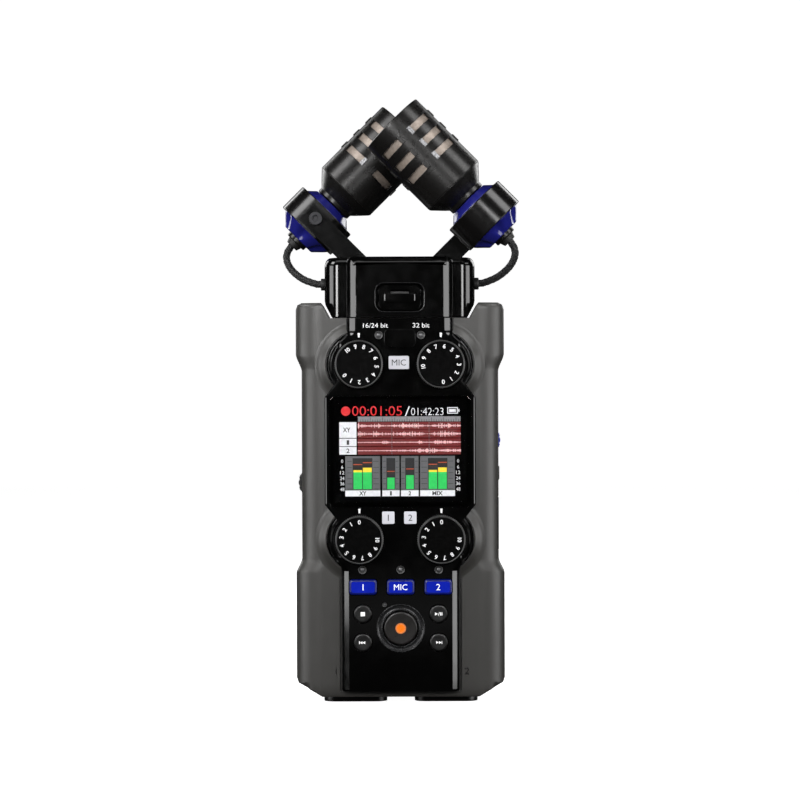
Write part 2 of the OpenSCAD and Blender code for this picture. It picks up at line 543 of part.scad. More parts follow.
// leads
function unit(v) = v / norm(v);
function cr(p, i, t) = let(a = p[max(i - 1, 0)], b = p[i], c = p[i + 1], d = p[min(i + 2, len(p) - 1)])
    0.5*((2*b) + (c - a)*t + (2*a - 5*b + 4*c - d)*t*t + (3*b - a - 3*c + d)*t*t*t);
function smooth_route(p, n) = concat([for (i = [0:len(p) - 2], k = [0:n - 1]) cr(p, i, k/n)], [p[len(p) - 1]]);
module swept_tube(p, r, sides) {
    m = len(p);
    pts = [for (i = [0:m - 1]) let(t = unit(p[min(i + 1, m - 1)] - p[max(i - 1, 0)]), u = unit(cross(t, [0, 1, 0])), v = cross(t, u))
        for (k = [0:sides - 1]) p[i] + r*(cos(360*k/sides)*u + sin(360*k/sides)*v)];
    polyhedron(pts, concat([[for (k = [0:sides - 1]) k]], [[for (k = [sides - 1:-1:0]) (m - 1)*sides + k]],
        [for (i = [0:m - 2], k = [0:sides - 1]) [i*sides + k, (i + 1)*sides + k, (i + 1)*sides + (k + 1) % sides, i*sides + (k + 1) % sides]]), convexity = 6);
}
module lead() swept_tube(smooth_route(lead_route, 3), cable_d/2, 8);
module mic_cables() color([0.04, 0.04, 0.04]) { lead(); rotate([0, 0, 180]) lead(); }

module cable_fittings() color([0.04, 0.04, 0.04]) for (a = [0, 180]) rotate([0, 0, a]) {
    at_right_mic() difference() {
        translate([0, 0, -12.6]) cylinder(r1 = 2.3, r2 = 2.9, h = 1.8);
        translate([0, 0, -13]) cylinder(r = 1.4, h = 2.1);
    }
    difference() {
        union() { xcyl(-2, 145.2, 2.1, capsule_half_w, capsule_half_w + 1.6); xcyl(-2, 145.2, 1.7, capsule_half_w - 5, capsule_half_w + 0.1); }
        xcyl(-2, 145.2, 1.5, capsule_half_w + 0.6, capsule_half_w + 3);
    }
}

front_shell();
rear_shell();
front_panel();
display_window();
display_module();
main_board();
preamp_board();
control_pots();
input_jacks();
input_collars();
battery_tray();
battery_cells();
battery_contacts();
speaker_driver();
tripod_insert();
case_screws();
indicator_lenses();
record_bezel();
capsule_socket();
usb_port();
card_socket();
audio_jacks();
key_switches();
wheel_encoders();
knob_mic_left();
knob_mic_right();
knob_input_1();
knob_input_2();
format_button();
track_button_1();
track_button_mic();
track_button_2();
record_button();
stop_button();
play_button();
rewind_button();
forward_button();
volume_wheel();
select_wheel();
power_slider();
menu_button();
battery_cover();
card_door();
capsule_latch();
capsule_front_housing();
capsule_rear_housing();
capsule_plug();
mic_arm_left();
mic_arm_right();
arm_screws();
mount_ring_left();
mount_ring_right();
suspension_mounts();
mic_barrel_left();
mic_barrel_right();
mic_tails();
mic_meshes();
mic_elements();
mic_cables();
cable_fittings();
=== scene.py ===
import json
import math
import bpy
import bmesh
import numpy as np
from mathutils import Matrix, Vector

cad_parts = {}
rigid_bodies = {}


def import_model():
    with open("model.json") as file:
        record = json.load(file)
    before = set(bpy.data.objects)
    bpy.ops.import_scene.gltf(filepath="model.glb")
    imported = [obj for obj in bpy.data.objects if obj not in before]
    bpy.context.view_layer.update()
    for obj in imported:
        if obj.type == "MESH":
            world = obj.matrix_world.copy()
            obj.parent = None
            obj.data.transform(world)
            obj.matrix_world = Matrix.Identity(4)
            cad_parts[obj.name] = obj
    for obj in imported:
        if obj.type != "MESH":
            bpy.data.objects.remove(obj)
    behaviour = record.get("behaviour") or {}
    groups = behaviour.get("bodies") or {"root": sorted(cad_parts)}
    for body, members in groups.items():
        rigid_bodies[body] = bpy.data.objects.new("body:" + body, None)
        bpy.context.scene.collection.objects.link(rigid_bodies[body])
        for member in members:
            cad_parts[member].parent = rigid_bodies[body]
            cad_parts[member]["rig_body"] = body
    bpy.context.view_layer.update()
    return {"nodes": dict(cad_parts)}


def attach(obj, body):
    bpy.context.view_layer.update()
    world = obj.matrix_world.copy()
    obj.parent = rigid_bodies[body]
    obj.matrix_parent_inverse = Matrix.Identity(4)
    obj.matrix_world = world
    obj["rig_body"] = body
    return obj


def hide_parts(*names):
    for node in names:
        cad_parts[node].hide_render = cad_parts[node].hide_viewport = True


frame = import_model()
NODE = frame["nodes"]
MM = 0.001

# ------------------------------------------------------------------ shared dimensions, in millimetres
YF, YB, YP = -17.0, 22.0, -20.5          # case front, case back, glossy panel face
KNOBS = {"knob_mic_left": (-14.05, 116.9, 8.6), "knob_mic_right": (14.05, 116.9, 6.4),
         "knob_input_1": (-14.05, 56.8, 0.0), "knob_input_2": (14.05, 56.8, 0.0)}
RING_X, RING_Z, MIC_Y = 29.3, 168.2, 12.7

# ------------------------------------------------------------------ materials
def new_mat(name):
    m = bpy.data.materials.new(name)
    m.use_nodes = True
    nt = m.node_tree
    nt.nodes.clear()
    out = nt.nodes.new("ShaderNodeOutputMaterial")
    b = nt.nodes.new("ShaderNodeBsdfPrincipled")
    nt.links.new(b.outputs[0], out.inputs[0])
    return m, nt, b

def lin(c):
    return tuple((v / 12.92 if v <= 0.04045 else ((v + 0.055) / 1.055) ** 2.4) for v in c)

def rgb(*v):
    return lin([x / 255 for x in v])

def noise_node(nt, coord, scale, detail=3.0, rough=0.55, stretch=None):
    n = nt.nodes.new("ShaderNodeTexNoise")
    n.inputs["Scale"].default_value = scale
    n.inputs["Detail"].default_value = detail
    n.inputs["Roughness"].default_value = rough
    src = coord
    if stretch:
        mp = nt.nodes.new("ShaderNodeMapping")
        mp.inputs["Scale"].default_value = stretch
        nt.links.new(coord, mp.inputs["Vector"])
        src = mp.outputs[0]
    nt.links.new(src, n.inputs["Vector"])
    return n.outputs["Fac"]

def ramp_val(nt, fac, lo, hi, flo=0.3, fhi=0.7):
    r = nt.nodes.new("ShaderNodeMapRange")
    r.inputs["From Min"].default_value = flo
    r.inputs["From Max"].default_value = fhi
    r.inputs["To Min"].default_value = lo
    r.inputs["To Max"].default_value = hi
    nt.links.new(fac, r.inputs["Value"])
    return r.outputs[0]

def ramp_col(nt, fac, a, b, flo=0.3, fhi=0.7):
    r = nt.nodes.new("ShaderNodeValToRGB")
    r.color_ramp.elements[0].position = flo
    r.color_ramp.elements[0].color = (*a, 1)
    r.color_ramp.elements[1].position = fhi
    r.color_ramp.elements[1].color = (*b, 1)
    nt.links.new(fac, r.inputs["Fac"])
    return r.outputs["Color"]

def surface(name, color, rough, metallic=0.0, vary=0.10, rvary=0.06, scale=260.0, bump=None, ior=1.5, coat=0.0, coat_rough=0.05,
            edge_wear=None, stretch=None, aniso=0.0, sheen=0.0, spec=0.5, fine=None):
    """A moulded or machined surface: colour and roughness drift, plus a fine bump given as (scale, height in mm)."""
    m, nt, b = new_mat(name)
    tc = nt.nodes.new("ShaderNodeTexCoord").outputs["Object"]
    n1 = noise_node(nt, tc, scale, 4.0, 0.6, stretch)
    lo = tuple(c * (1 - vary) for c in color)
    hi = tuple(min(1, c * (1 + vary)) for c in color)
    col = ramp_col(nt, n1, lo, hi)
    if edge_wear:
        geo = nt.nodes.new("ShaderNodeNewGeometry")
        amount, wear_col = edge_wear
        w = ramp_val(nt, geo.outputs["Pointiness"], 0.0, amount, 0.53, 0.62)
        mix = nt.nodes.new("ShaderNodeMix")
        mix.data_type = "RGBA"
        nt.links.new(w, mix.inputs["Factor"])
        nt.links.new(col, mix.inputs["A"])
        mix.inputs["B"].default_value = (*wear_col, 1)
        col = mix.outputs["Result"]
    nt.links.new(col, b.inputs["Base Color"])
    n2 = noise_node(nt, tc, scale * 3.1, 3.0, 0.6, stretch)
    nt.links.new(ramp_val(nt, n2, max(0.0, rough - rvary), min(1.0, rough + rvary)), b.inputs["Roughness"])
    b.inputs["Metallic"].default_value = metallic
    b.inputs["IOR"].default_value = ior
    b.inputs["Specular IOR Level"].default_value = spec
    if coat:
        b.inputs["Coat Weight"].default_value = coat
        b.inputs["Coat Roughness"].default_value = coat_rough
    if aniso:
        b.inputs["Anisotropic"].default_value = aniso
    if sheen:
        b.inputs["Sheen Weight"].default_value = sheen
    if bump:
        bs, bh = bump
        n3 = noise_node(nt, tc, bs, 2.0, 0.6, fine)
        bp = nt.nodes.new("ShaderNodeBump")
        bp.inputs["Strength"].default_value = 1.0
        bp.inputs["Distance"].default_value = bh * MM
        nt.links.new(n3, bp.inputs["Height"])
        nt.links.new(bp.outputs[0], b.inputs["Normal"])
    return m

def lit(name, color, strength, base=None, rough=0.35, vary=0.12, scale=900.0, pixel=0.0):
    """A lit surface whose glow drifts a little; pixel is the pitch in mm of a display's dot grid."""
    m, nt, b = new_mat(name)
    tc = nt.nodes.new("ShaderNodeTexCoord").outputs["Object"]
    n1 = noise_node(nt, tc, scale, 2.0)
    col = ramp_col(nt, n1, tuple(c * (1 - vary) for c in color), tuple(min(1, c * (1 + vary * 0.5)) for c in color))
    bb = base or tuple(c * 0.5 for c in color)
    nt.links.new(ramp_col(nt, n1, tuple(c * (1 - vary) for c in bb), bb), b.inputs["Base Color"])
    if pixel:
        sep = nt.nodes.new("ShaderNodeSeparateXYZ")
        nt.links.new(tc, sep.inputs[0])
        prev = None
        for axis in ("X", "Z"):
            w = nt.nodes.new("ShaderNodeMath"); w.operation = "MULTIPLY"
            nt.links.new(sep.outputs[axis], w.inputs[0]); w.inputs[1].default_value = 1.0 / (pixel * MM)
            f = nt.nodes.new("ShaderNodeMath"); f.operation = "FRACT"
            nt.links.new(w.outputs[0], f.inputs[0])
            p = nt.nodes.new("ShaderNodeMath"); p.operation = "GREATER_THAN"
            nt.links.new(f.outputs[0], p.inputs[0]); p.inputs[1].default_value = 0.16
            if prev is None:
                prev = p.outputs[0]
            else:
                q = nt.nodes.new("ShaderNodeMath"); q.operation = "MULTIPLY"
                nt.links.new(prev, q.inputs[0]); nt.links.new(p.outputs[0], q.inputs[1])
                prev = q.outputs[0]
        mix = nt.nodes.new("ShaderNodeMix"); mix.data_type = "RGBA"
        nt.links.new(prev, mix.inputs["Factor"])
        mix.inputs["A"].default_value = (*[c * 0.72 for c in color], 1)
        nt.links.new(col, mix.inputs["B"])
        col = mix.outputs["Result"]
    nt.links.new(col, b.inputs["Emission Color"])
    b.inputs["Emission Strength"].default_value = strength
    nt.links.new(ramp_val(nt, n1, rough - 0.05, rough + 0.05), b.inputs["Roughness"])
    return m

M = {}
M["case"] = surface("case_plastic", rgb(50, 49, 47), 0.40, vary=0.05, rvary=0.03, scale=90, bump=(5200, 0.005), spec=0.5)
M["gloss"] = surface("panel_gloss", rgb(2, 2, 2), 0.11, vary=0.25, rvary=0.03, scale=60, bump=(900, 0.0002))
M["gloss2"] = surface("capsule_gloss", rgb(2, 2, 2), 0.115, vary=0.25, rvary=0.03, scale=60, bump=(900, 0.0002))
M["satin"] = surface("black_plastic", rgb(14, 14, 14), 0.34, vary=0.12, rvary=0.06, scale=200, bump=(4200, 0.006))
M["knob"] = surface("knob_black", rgb(8, 8, 8), 0.50, vary=0.15, rvary=0.06, scale=320, bump=(5200, 0.016))
M["key"] = surface("key_black", rgb(8, 8, 8), 0.34, vary=0.10, rvary=0.06, scale=300, bump=(5600, 0.008))
M["mic"] = surface("mic_metal", rgb(24, 23, 22), 0.29, metallic=0.45, vary=0.08, rvary=0.03, scale=240, bump=(5200, 0.0008))
M["ringm"] = surface("ring_metal", rgb(16, 15, 15), 0.19, metallic=0.35, vary=0.08, rvary=0.03, scale=240, bump=(5200, 0.0006))
M["arm"] = surface("arm_metal", rgb(9, 9, 9), 0.13, metallic=0.1, vary=0.08, rvary=0.03, scale=240, bump=(4200, 0.0004))
M["blue"] = surface("blue_elastomer", rgb(27, 29, 108), 0.17, vary=0.08, rvary=0.04, scale=350, bump=(3800, 0.003))
M["bluewheel"] = surface("blue_wheel", rgb(34, 44, 150), 0.4, vary=0.1, scale=350, bump=(3800, 0.01))
M["mesh"] = surface("mesh_screen", rgb(150, 138, 128), 0.42, metallic=0.35, vary=0.18, rvary=0.08, scale=900, bump=(9000, 0.02))
# painted highlight: light grey metal blocks that stand in for glints on the mic barrels
M["glint"] = surface("painted_glint_block", rgb(150, 150, 152), 0.28, metallic=0.6, vary=0.08, scale=500, bump=(5000, 0.004))
M["steel"] = surface("plated_steel", rgb(170, 170, 172), 0.28, metallic=1.0, vary=0.06, scale=500, stretch=(1, 1, 8), aniso=0.3, bump=(3000, 0.002))
M["brass"] = surface("brass", rgb(190, 150, 84), 0.3, metallic=1.0, vary=0.08, scale=500, bump=(3000, 0.003))
M["screw"] = surface("black_oxide", rgb(38, 38, 40), 0.35, metallic=0.8, vary=0.1, scale=600, bump=(4000, 0.003))
M["board"] = surface("solder_mask", rgb(16, 86, 44), 0.35, vary=0.15, scale=700, bump=(1800, 0.02), coat=0.3)
M["white"] = surface("printed_white", rgb(226, 226, 228), 0.5, vary=0.03, scale=900, bump=(5000, 0.002))
M["cable"] = surface("braid", rgb(5, 5, 6), 0.46, vary=0.25, rvary=0.1, scale=1800, bump=(14000, 0.006), sheen=0.1)
M["rubber"] = surface("cable_rubber", rgb(18, 18, 18), 0.55, vary=0.12, scale=500, bump=(4200, 0.008))
M["jacket"] = surface("battery_jacket", rgb(150, 108, 40), 0.3, metallic=0.7, vary=0.12, scale=300, stretch=(1, 1, 0.2), bump=(2000, 0.003))
M["jacket2"] = surface("battery_black", rgb(26, 26, 28), 0.3, metallic=0.3, vary=0.12, scale=300, bump=(2000, 0.003))
M["cone"] = surface("speaker_cone", rgb(28, 28, 28), 0.7, vary=0.15, scale=700, bump=(3000, 0.02))
# painted highlight: a grey bead laid along recess rims to draw their light edge line
M["highlight_bead"] = surface("bead_painted_highlight", rgb(40, 40, 41), 0.24, metallic=0.5, vary=0.08, rvary=0.03, scale=400, bump=(4000, 0.0003))
M["floor"] = lit("studio_floor", (1.0, 1.0, 1.0), 0.98, base=(0.8, 0.8, 0.8), rough=0.85, vary=0.006, scale=3)

# ------------------------------------------------------------------ mesh helpers (arguments in millimetres)
def link(o):
    bpy.context.scene.collection.objects.link(o)
    return o

def mesh_object(name, verts, faces, mat=None):
    me = bpy.data.meshes.new(name)
    me.from_pydata([tuple(c * MM for c in v) for v in verts], [], faces)
    me.validate()
    o = link(bpy.data.objects.new(name, me))
    if mat:
        me.materials.append(M[mat] if isinstance(mat, str) else mat)
    bm = bmesh.new(); bm.from_mesh(me)
    bmesh.ops.recalc_face_normals(bm, faces=bm.faces)
    bm.to_mesh(me); bm.free()
    return o

def transform(o, m):
    """m is in millimetres."""
    mm = m.copy()
    mm.translation = mm.translation * MM
    o.data.transform(mm)
    if mm.determinant() < 0:
        o.data.flip_normals()
    return o

def T(x=0, y=0, z=0):
    return Matrix.Translation((x, y, z))

def R(axis, deg):
    return Matrix.Rotation(math.radians(deg), 4, axis)

def applied(o):
    """Applies every modifier on o."""
    dg = bpy.context.evaluated_depsgraph_get()
    me = bpy.data.meshes.new_from_object(o.evaluated_get(dg))
    old = o.data
    o.modifiers.clear()
    o.data = me
    if old.users == 0:
        bpy.data.meshes.remove(old)
    return o

def join(objs, name=None):
    """Joins meshes into the first one, keeping each one's materials."""
    base = objs[0]
    mats = []
    bm = bmesh.new()
    for o in objs:
        remap = []
        for m in o.data.materials:
            if m not in mats:
                mats.append(m)
            remap.append(mats.index(m))
        n0 = len(bm.faces)
        bm.from_mesh(o.data)
        bm.faces.ensure_lookup_table()
        if remap:
            for f in bm.faces[n0:]:
                f.material_index = remap[min(f.material_index, len(remap) - 1)]
    me = bpy.data.meshes.new(name or base.name)
    bm.to_mesh(me); bm.free()
    for m in mats:
        me.materials.append(m)
    for o in objs[1:]:
        bpy.data.objects.remove(o)
    base.data = me
    if name:
        base.name = name
    return base

def boolean(o, other, op="DIFFERENCE"):
    others = other if isinstance(other, (list, tuple)) else [other]
    for x in others:
        md = o.modifiers.new("b", "BOOLEAN")
        md.operation = op
        md.solver = "EXACT"
        md.object = x
        applied(o)
        bpy.data.objects.remove(x)
    return o

def dissolve(o, deg=0.6):
    bm = bmesh.new(); bm.from_mesh(o.data)
    bmesh.ops.remove_doubles(bm, verts=bm.verts, dist=2e-6)
    bmesh.ops.dissolve_limit(bm, angle_limit=math.radians(deg), verts=bm.verts, edges=bm.edges)
    bm.to_mesh(o.data); bm.free()
    return o

def bevel(o, width, seg=2, angle=30, clamp=True, apply=True):
    md = o.modifiers.new("bevel", "BEVEL")
    md.width = width * MM
    md.segments = seg
    md.limit_method = "ANGLE"
    md.angle_limit = math.radians(angle)
    md.use_clamp_overlap = clamp
    md.miter_outer = "MITER_ARC"
    return applied(o) if apply else o

def smooth(o, angle=38, wn=True):
    me = o.data
    me.polygons.foreach_set("use_smooth", [True] * len(me.polygons))
    me.set_sharp_from_angle(angle=math.radians(angle))
    if wn:
        md = o.modifiers.new("wn", "WEIGHTED_NORMAL")
        md.keep_sharp = True
        md.weight = 60
    return o

def done(o, body, nodes=(), angle=38, wn=True):
    smooth(o, angle, wn)
    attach(o, body)
    if nodes:
        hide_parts(*([nodes] if isinstance(nodes, str) else nodes))
    return o

def arc(cx, cy, r, a0, a1, n):
    return [(cx + r * math.cos(math.radians(a0 + (a1 - a0) * i / n)), cy + r * math.sin(math.radians(a0 + (a1 - a0) * i / n))) for i in range(n + 1)]

def rrect(w, h, r, n=8, cx=0.0, cy=0.0):
    p = []
    for sx, sy, a in ((1, 1, 0), (-1, 1, 90), (-1, -1, 180), (1, -1, 270)):
        p += arc(cx + sx * (w / 2 - r), cy + sy * (h / 2 - r), r, a, a + 90, n)
    return p

def prism(name, outline, y0, y1, mat=None):
    """Extrudes an outline in X, Z from y0 (front) to y1."""
    n = len(outline)
    v = [(x, y0, z) for x, z in outline] + [(x, y1, z) for x, z in outline]
    f = [list(range(n)), list(range(2 * n - 1, n - 1, -1))] + [[i, n + i, n + (i + 1) % n, (i + 1) % n] for i in range(n)]
    return mesh_object(name, v, f, mat)

def lathe(name, profile, seg=64, mat=None, closed=True):
    """Turns a profile of (radius, height) about local Z. Points on the axis make poles; a closed profile off the axis makes a ring."""
    v, f, rows = [], [], []
    for r, h in profile:
        if r < 1e-6:
            rows.append([len(v)]); v.append((0, 0, h))
        else:
            rows.append(list(range(len(v), len(v) + seg)))
            v += [(r * math.cos(2 * math.pi * k / seg), r * math.sin(2 * math.pi * k / seg), h) for k in range(seg)]
    m = len(profile)
    on_axis = len(rows[0]) == 1 or len(rows[-1]) == 1
    for i in range(m if (closed and not on_axis) else m - 1):
        a, b = rows[i], rows[(i + 1) % m]
        for k in range(seg):
            k2 = (k + 1) % seg
            if len(a) == 1 and len(b) == 1:
                continue
            if len(a) == 1:
                f.append([a[0], b[k], b[k2]])
            elif len(b) == 1:
                f.append([a[k], b[0], a[k2]])
            else:
                f.append([a[k], b[k], b[k2], a[k2]])
    return mesh_object(name, v, f, mat)

def rounded(points, radii, n=4, closed=False):
    """Rounds the corners of a polyline with arcs; radii is one number or one for each point."""
    m = len(points)
    rr = radii if isinstance(radii, (list, tuple)) else [radii] * m
    out = []
    for i, p in enumerate(points):
        r = rr[i]
        if (not closed and i in (0, m - 1)) or r <= 0:
            out.append(tuple(p)); continue
        a, b, c = Vector(points[i - 1]), Vector(p), Vector(points[(i + 1) % m])
        u, w = (a - b), (c - b)
        lu, lw = u.length, w.length
        if lu < 1e-9 or lw < 1e-9:
            out.append(tuple(p)); continue
        u, w = u / lu, w / lw
        cosang = max(-1, min(1, u.dot(w)))
        ang = math.acos(cosang)
        if ang > math.radians(176):
            out.append(tuple(p)); continue
        t = min(r / math.tan(ang / 2), lu * 0.49, lw * 0.49)
        r2 = t * math.tan(ang / 2)
        centre = b + (u + w).normalized() * (r2 / math.sin(ang / 2))
        s, e = b + u * t - centre, b + w * t - centre
        a0 = math.atan2(s.y, s.x); a1 = math.atan2(e.y, e.x)
        d = (a1 - a0 + math.pi) % (2 * math.pi) - math.pi
        out += [(centre.x + r2 * math.cos(a0 + d * k / n), centre.y + r2 * math.sin(a0 + d * k / n)) for k in range(n + 1)]
    return out

def cylinder_y(x, z, r, y0, y1, seg=48, name="c", mat=None):
    return prism(name, arc(x, z, r, 0, 360 - 360 / seg, seg - 1), y0, y1, mat)

def block(x0, x1, y0, y1, z0, z1, name="blk", mat=None, bev=0.0, seg=2):
    o = prism(name, [(x0, z0), (x1, z0), (x1, z1), (x0, z1)], y0, y1, mat)
    if bev:
        bevel(o, bev, seg)
    return o

def to_front(o, x, z, y):
    """A piece turned about local +Z, put so that its axis points out of the front at x, z, with its zero at depth y."""
    return transform(o, T(x, y, z) @ R("X", 90))

def text_mesh(s, size, depth=0.05, mat="white", spacing=1.0, bold=0.0, scale_x=1.0):
    """Text in the X, Z plane facing the front, centred on the origin, its back at y = 0."""
    cu = bpy.data.curves.new("t", "FONT")
    cu.body = s
    cu.align_x = "CENTER"; cu.align_y = "CENTER"
    cu.size = size * MM
    cu.extrude = depth * MM / 2
    cu.offset = bold * MM
    cu.space_character = spacing
    cu.resolution_u = 3
    o = link(bpy.data.objects.new("t", cu))
    dg = bpy.context.evaluated_depsgraph_get()
    me = bpy.data.meshes.new_from_object(o.evaluated_get(dg))
    bpy.data.objects.remove(o)
    bpy.data.curves.remove(cu)
    p = link(bpy.data.objects.new("text", me))
    me.materials.clear()
    me.materials.append(M[mat] if isinstance(mat, str) else mat)
    # centre by the glyphs' own box
    co = np.array([v.co for v in me.vertices]).reshape(-1, 3) / MM
    if len(co):
        c = (co.min(0) + co.max(0)) / 2
        transform(p, Matrix.Diagonal((scale_x, 1, 1, 1)) @ T(-c[0], -c[1], -co[:, 2].min()))
    return transform(p, R("X", 90))

def loft(name, rings, mat=None, cap=True):
    """rings is a list of closed loops with the same number of 3-D points."""
    n = len(rings[0])
    v = [p for r in rings for p in r]
    f = []
    for i in range(len(rings) - 1):
        for k in range(n):
            k2 = (k + 1) % n
            f.append([i * n + k, i * n + k2, (i + 1) * n + k2, (i + 1) * n + k])
    if cap:
        f.append(list(range(n - 1, -1, -1)))
        f.append([(len(rings) - 1) * n + k for k in range(n)])
    o = mesh_object(name, v, f, mat)
    bm = bmesh.new(); bm.from_mesh(o.data)
    bmesh.ops.remove_doubles(bm, verts=bm.verts, dist=1e-7)
    bmesh.ops.recalc_face_normals(bm, faces=bm.faces)
    bm.to_mesh(o.data); bm.free()
    return o

def plan_ring(z, hw, w, d, r, cy, n=9, rx=None):
    """A rounded rectangle seen from above, cut off flat at x = +-hw; rx makes its corners wider than they are deep."""
    rx = rx or r
    p = []
    for sx_, sy_, a in ((1, 1, 0), (-1, 1, 90), (-1, -1, 180), (1, -1, 270)):
        for k in range(n + 1):
            t = math.radians(a + 90 * k / n)
            p.append((sx_ * (w / 2 - rx) + rx * math.cos(t), cy + sy_ * (d / 2 - r) + r * math.sin(t)))
    return [(max(-hw, min(hw, x)), y, z) for x, y in p]

def frames(pts):
    """Turn-free frames along a path."""
    tang = []
    for i in range(len(pts)):
        a, b = pts[max(i - 1, 0)], pts[min(i + 1, len(pts) - 1)]
        tang.append((b - a).normalized())
    u = tang[0].orthogonal().normalized()
    out = []
    for t in tang:
        u = (u - t * u.dot(t)).normalized()
        out.append((t, u, t.cross(u).normalized()))
    return out

def tube(name, pts, r, sides=8, mat=None):
    fr = frames(pts)
    rings = []
    for p, (t, u, v) in zip(pts, fr):
        rings.append([tuple(p + (u * math.cos(2 * math.pi * k / sides) + v * math.sin(2 * math.pi * k / sides)) * r) for k in range(sides)])
    n = sides
    vv = [p for rg in rings for p in rg]
    f = []
    for i in range(len(rings) - 1):
        for k in range(n):
            k2 = (k + 1) % n
            f.append([i * n + k, i * n + k2, (i + 1) * n + k2, (i + 1) * n + k])
    f.append(list(range(n - 1, -1, -1))); f.append([(len(rings) - 1) * n + k for k in range(n)])
    return mesh_object(name, vv, f, mat)

# the section of a rolled edge, from the side wall up to the face: how far in, and how far up
ROLL = [(f, None, v) for f, v in ((0.0, 0.0), (0.02, 0.07), (0.06, 0.15), (0.13, 0.25), (0.22, 0.36), (0.32, 0.47), (0.44, 0.585), (0.56, 0.69), (0.68, 0.78), (0.79, 0.86), (0.88, 0.92), (0.95, 0.965), (1.0, 1.0))]
def rolled(name, side, yface, yback, mat, roll_top=0.0, steps=5):
    """A raised face with rolled edges. side is the right-hand edge from top to bottom as (x, z, roll width, roll depth)."""
    pts = [(x, z) for x, z, _, _ in side]
    norms = [Vector((-1, 0))] * len(pts)     # the roll is taken sideways, so it never folds over at a corner
    rings = []
    levels = [(0.0, yback, None)] + ROLL
    for frac, y, s in levels:
        right = []
        for (x, z, w, d), nn in zip(side, norms):
            yy = y if y is not None else yface + d * (1 - s)
            right.append((x + nn.x * w * frac, yy, z + nn.y * w * frac))
        left = [(-x, yy, z) for x, yy, z in reversed(right)]
        rings.append(right + left)
    return loft(name, rings, mat)

def upgrade(node, mat, width=0.2, seg=2, angle=35, body=None, deg=0.6, sm=38, name=None):
    """Rebuilds a CAD part's mesh with rolled edges and a surface finish."""
    src = NODE[node]
    me = src.data.copy()
    me.materials.clear()
    me.materials.append(M[mat] if isinstance(mat, str) else mat)
    for p in me.polygons:
        p.material_index = 0
    o = link(bpy.data.objects.new(name or (node + "_v"), me))
    dissolve(o, deg)
    if width:
        bevel(o, width, seg, angle)
    done(o, body or src["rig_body"], node, angle=sm)
    return o

def merge_in(o, *others):
    """Adds other meshes to o, each keeping its own finish."""
    return join([o, *others], o.name)

# ------------------------------------------------------------------ case
def case_hw(z, i=0.0):
    pts = [(2.5 + i, 27.0 - i * 0.3), (7.2 + i * 0.5, 35.3 - i * 0.8), (8.8 + i * 0.3, 36.0 - i), (45.1 - i * 0.4, 36.0 - i), (50.0, 34.0 - i), (114.8, 34.0 - i),
           (120.4 + i * 0.2, 36.0 - i), (136.0 - i * 0.6, 36.0 - i), (137.5 - i, 35.4 - i), (138.2 - i, 34.0 - i)]
    for (z0, h0), (z1, h1) in zip(pts, pts[1:]):
        if z <= z1:
            t = (z - z0) / (z1 - z0)
            if 0 <= t <= 1 and z0 > 40 and z1 < 121:
                t = t * t * (3 - 2 * t) * 0.6 + t * 0.4 if abs(h0 - h1) > 0.5 else t
            return h0 + (h1 - h0) * max(0, min(1, t))
    return pts[-1][1]

def case_loft(name, i, mat="case"):
    zs = [2.5 + i, 3.2 + i, 5.0 + i * 0.8, 7.2 + i * 0.5, 7.8 + i * 0.5, 8.8 + i * 0.3, 12, 24, 36, 45.1 - i * 0.4]
    zs += [45.1 + 4.9 * k / 6 for k in range(1, 7)] + [60, 75, 90, 105, 114.8] + [114.8 + 5.6 * k / 6 for k in range(1, 7)]
    zs += [126, 131, 136.0 - i * 0.6, 136.8 - i * 0.8, 137.5 - i, 138.2 - i]
    zs = sorted(set(zs))
    rings = []
    for z in zs:
        hw = case_hw(z, i)
        w = 2 * (case_hw(max(z, 9.5), i) if z < 136.0 - i * 0.6 else 36.0 - i)
        top = max(0.0, (z - (136.4 - i)) / 1.8)
        shrink = 0.9 * (1 - math.sqrt(max(0, 1 - min(1, top) ** 2))) if i == 0 else 0.0
        bot = max(0.0, (3.4 - z) / 0.9) if i == 0 else 0.0
        shrink += 0.5 * bot
        rings.append(plan_ring(z, hw, w - 2 * shrink * 0, 39.0 - 2 * i - 2 * shrink, (5.6 if i == 0 else 4.2), 2.5, 12 if i == 0 else 9, (9.5 if i == 0 else None)))
    return loft(name, rings, mat)

def notch(g, top=150):
    return prism("notch", [(-24.2 - g * 0.6, 132.9 - g), (24.2 + g * 0.6, 132.9 - g), (27.1 + g * 1.1, 138.2), (27.1 + g * 1.1, top), (-27.1 - g * 1.1, top), (-27.1 - g * 1.1, 138.2)], -30, 30)

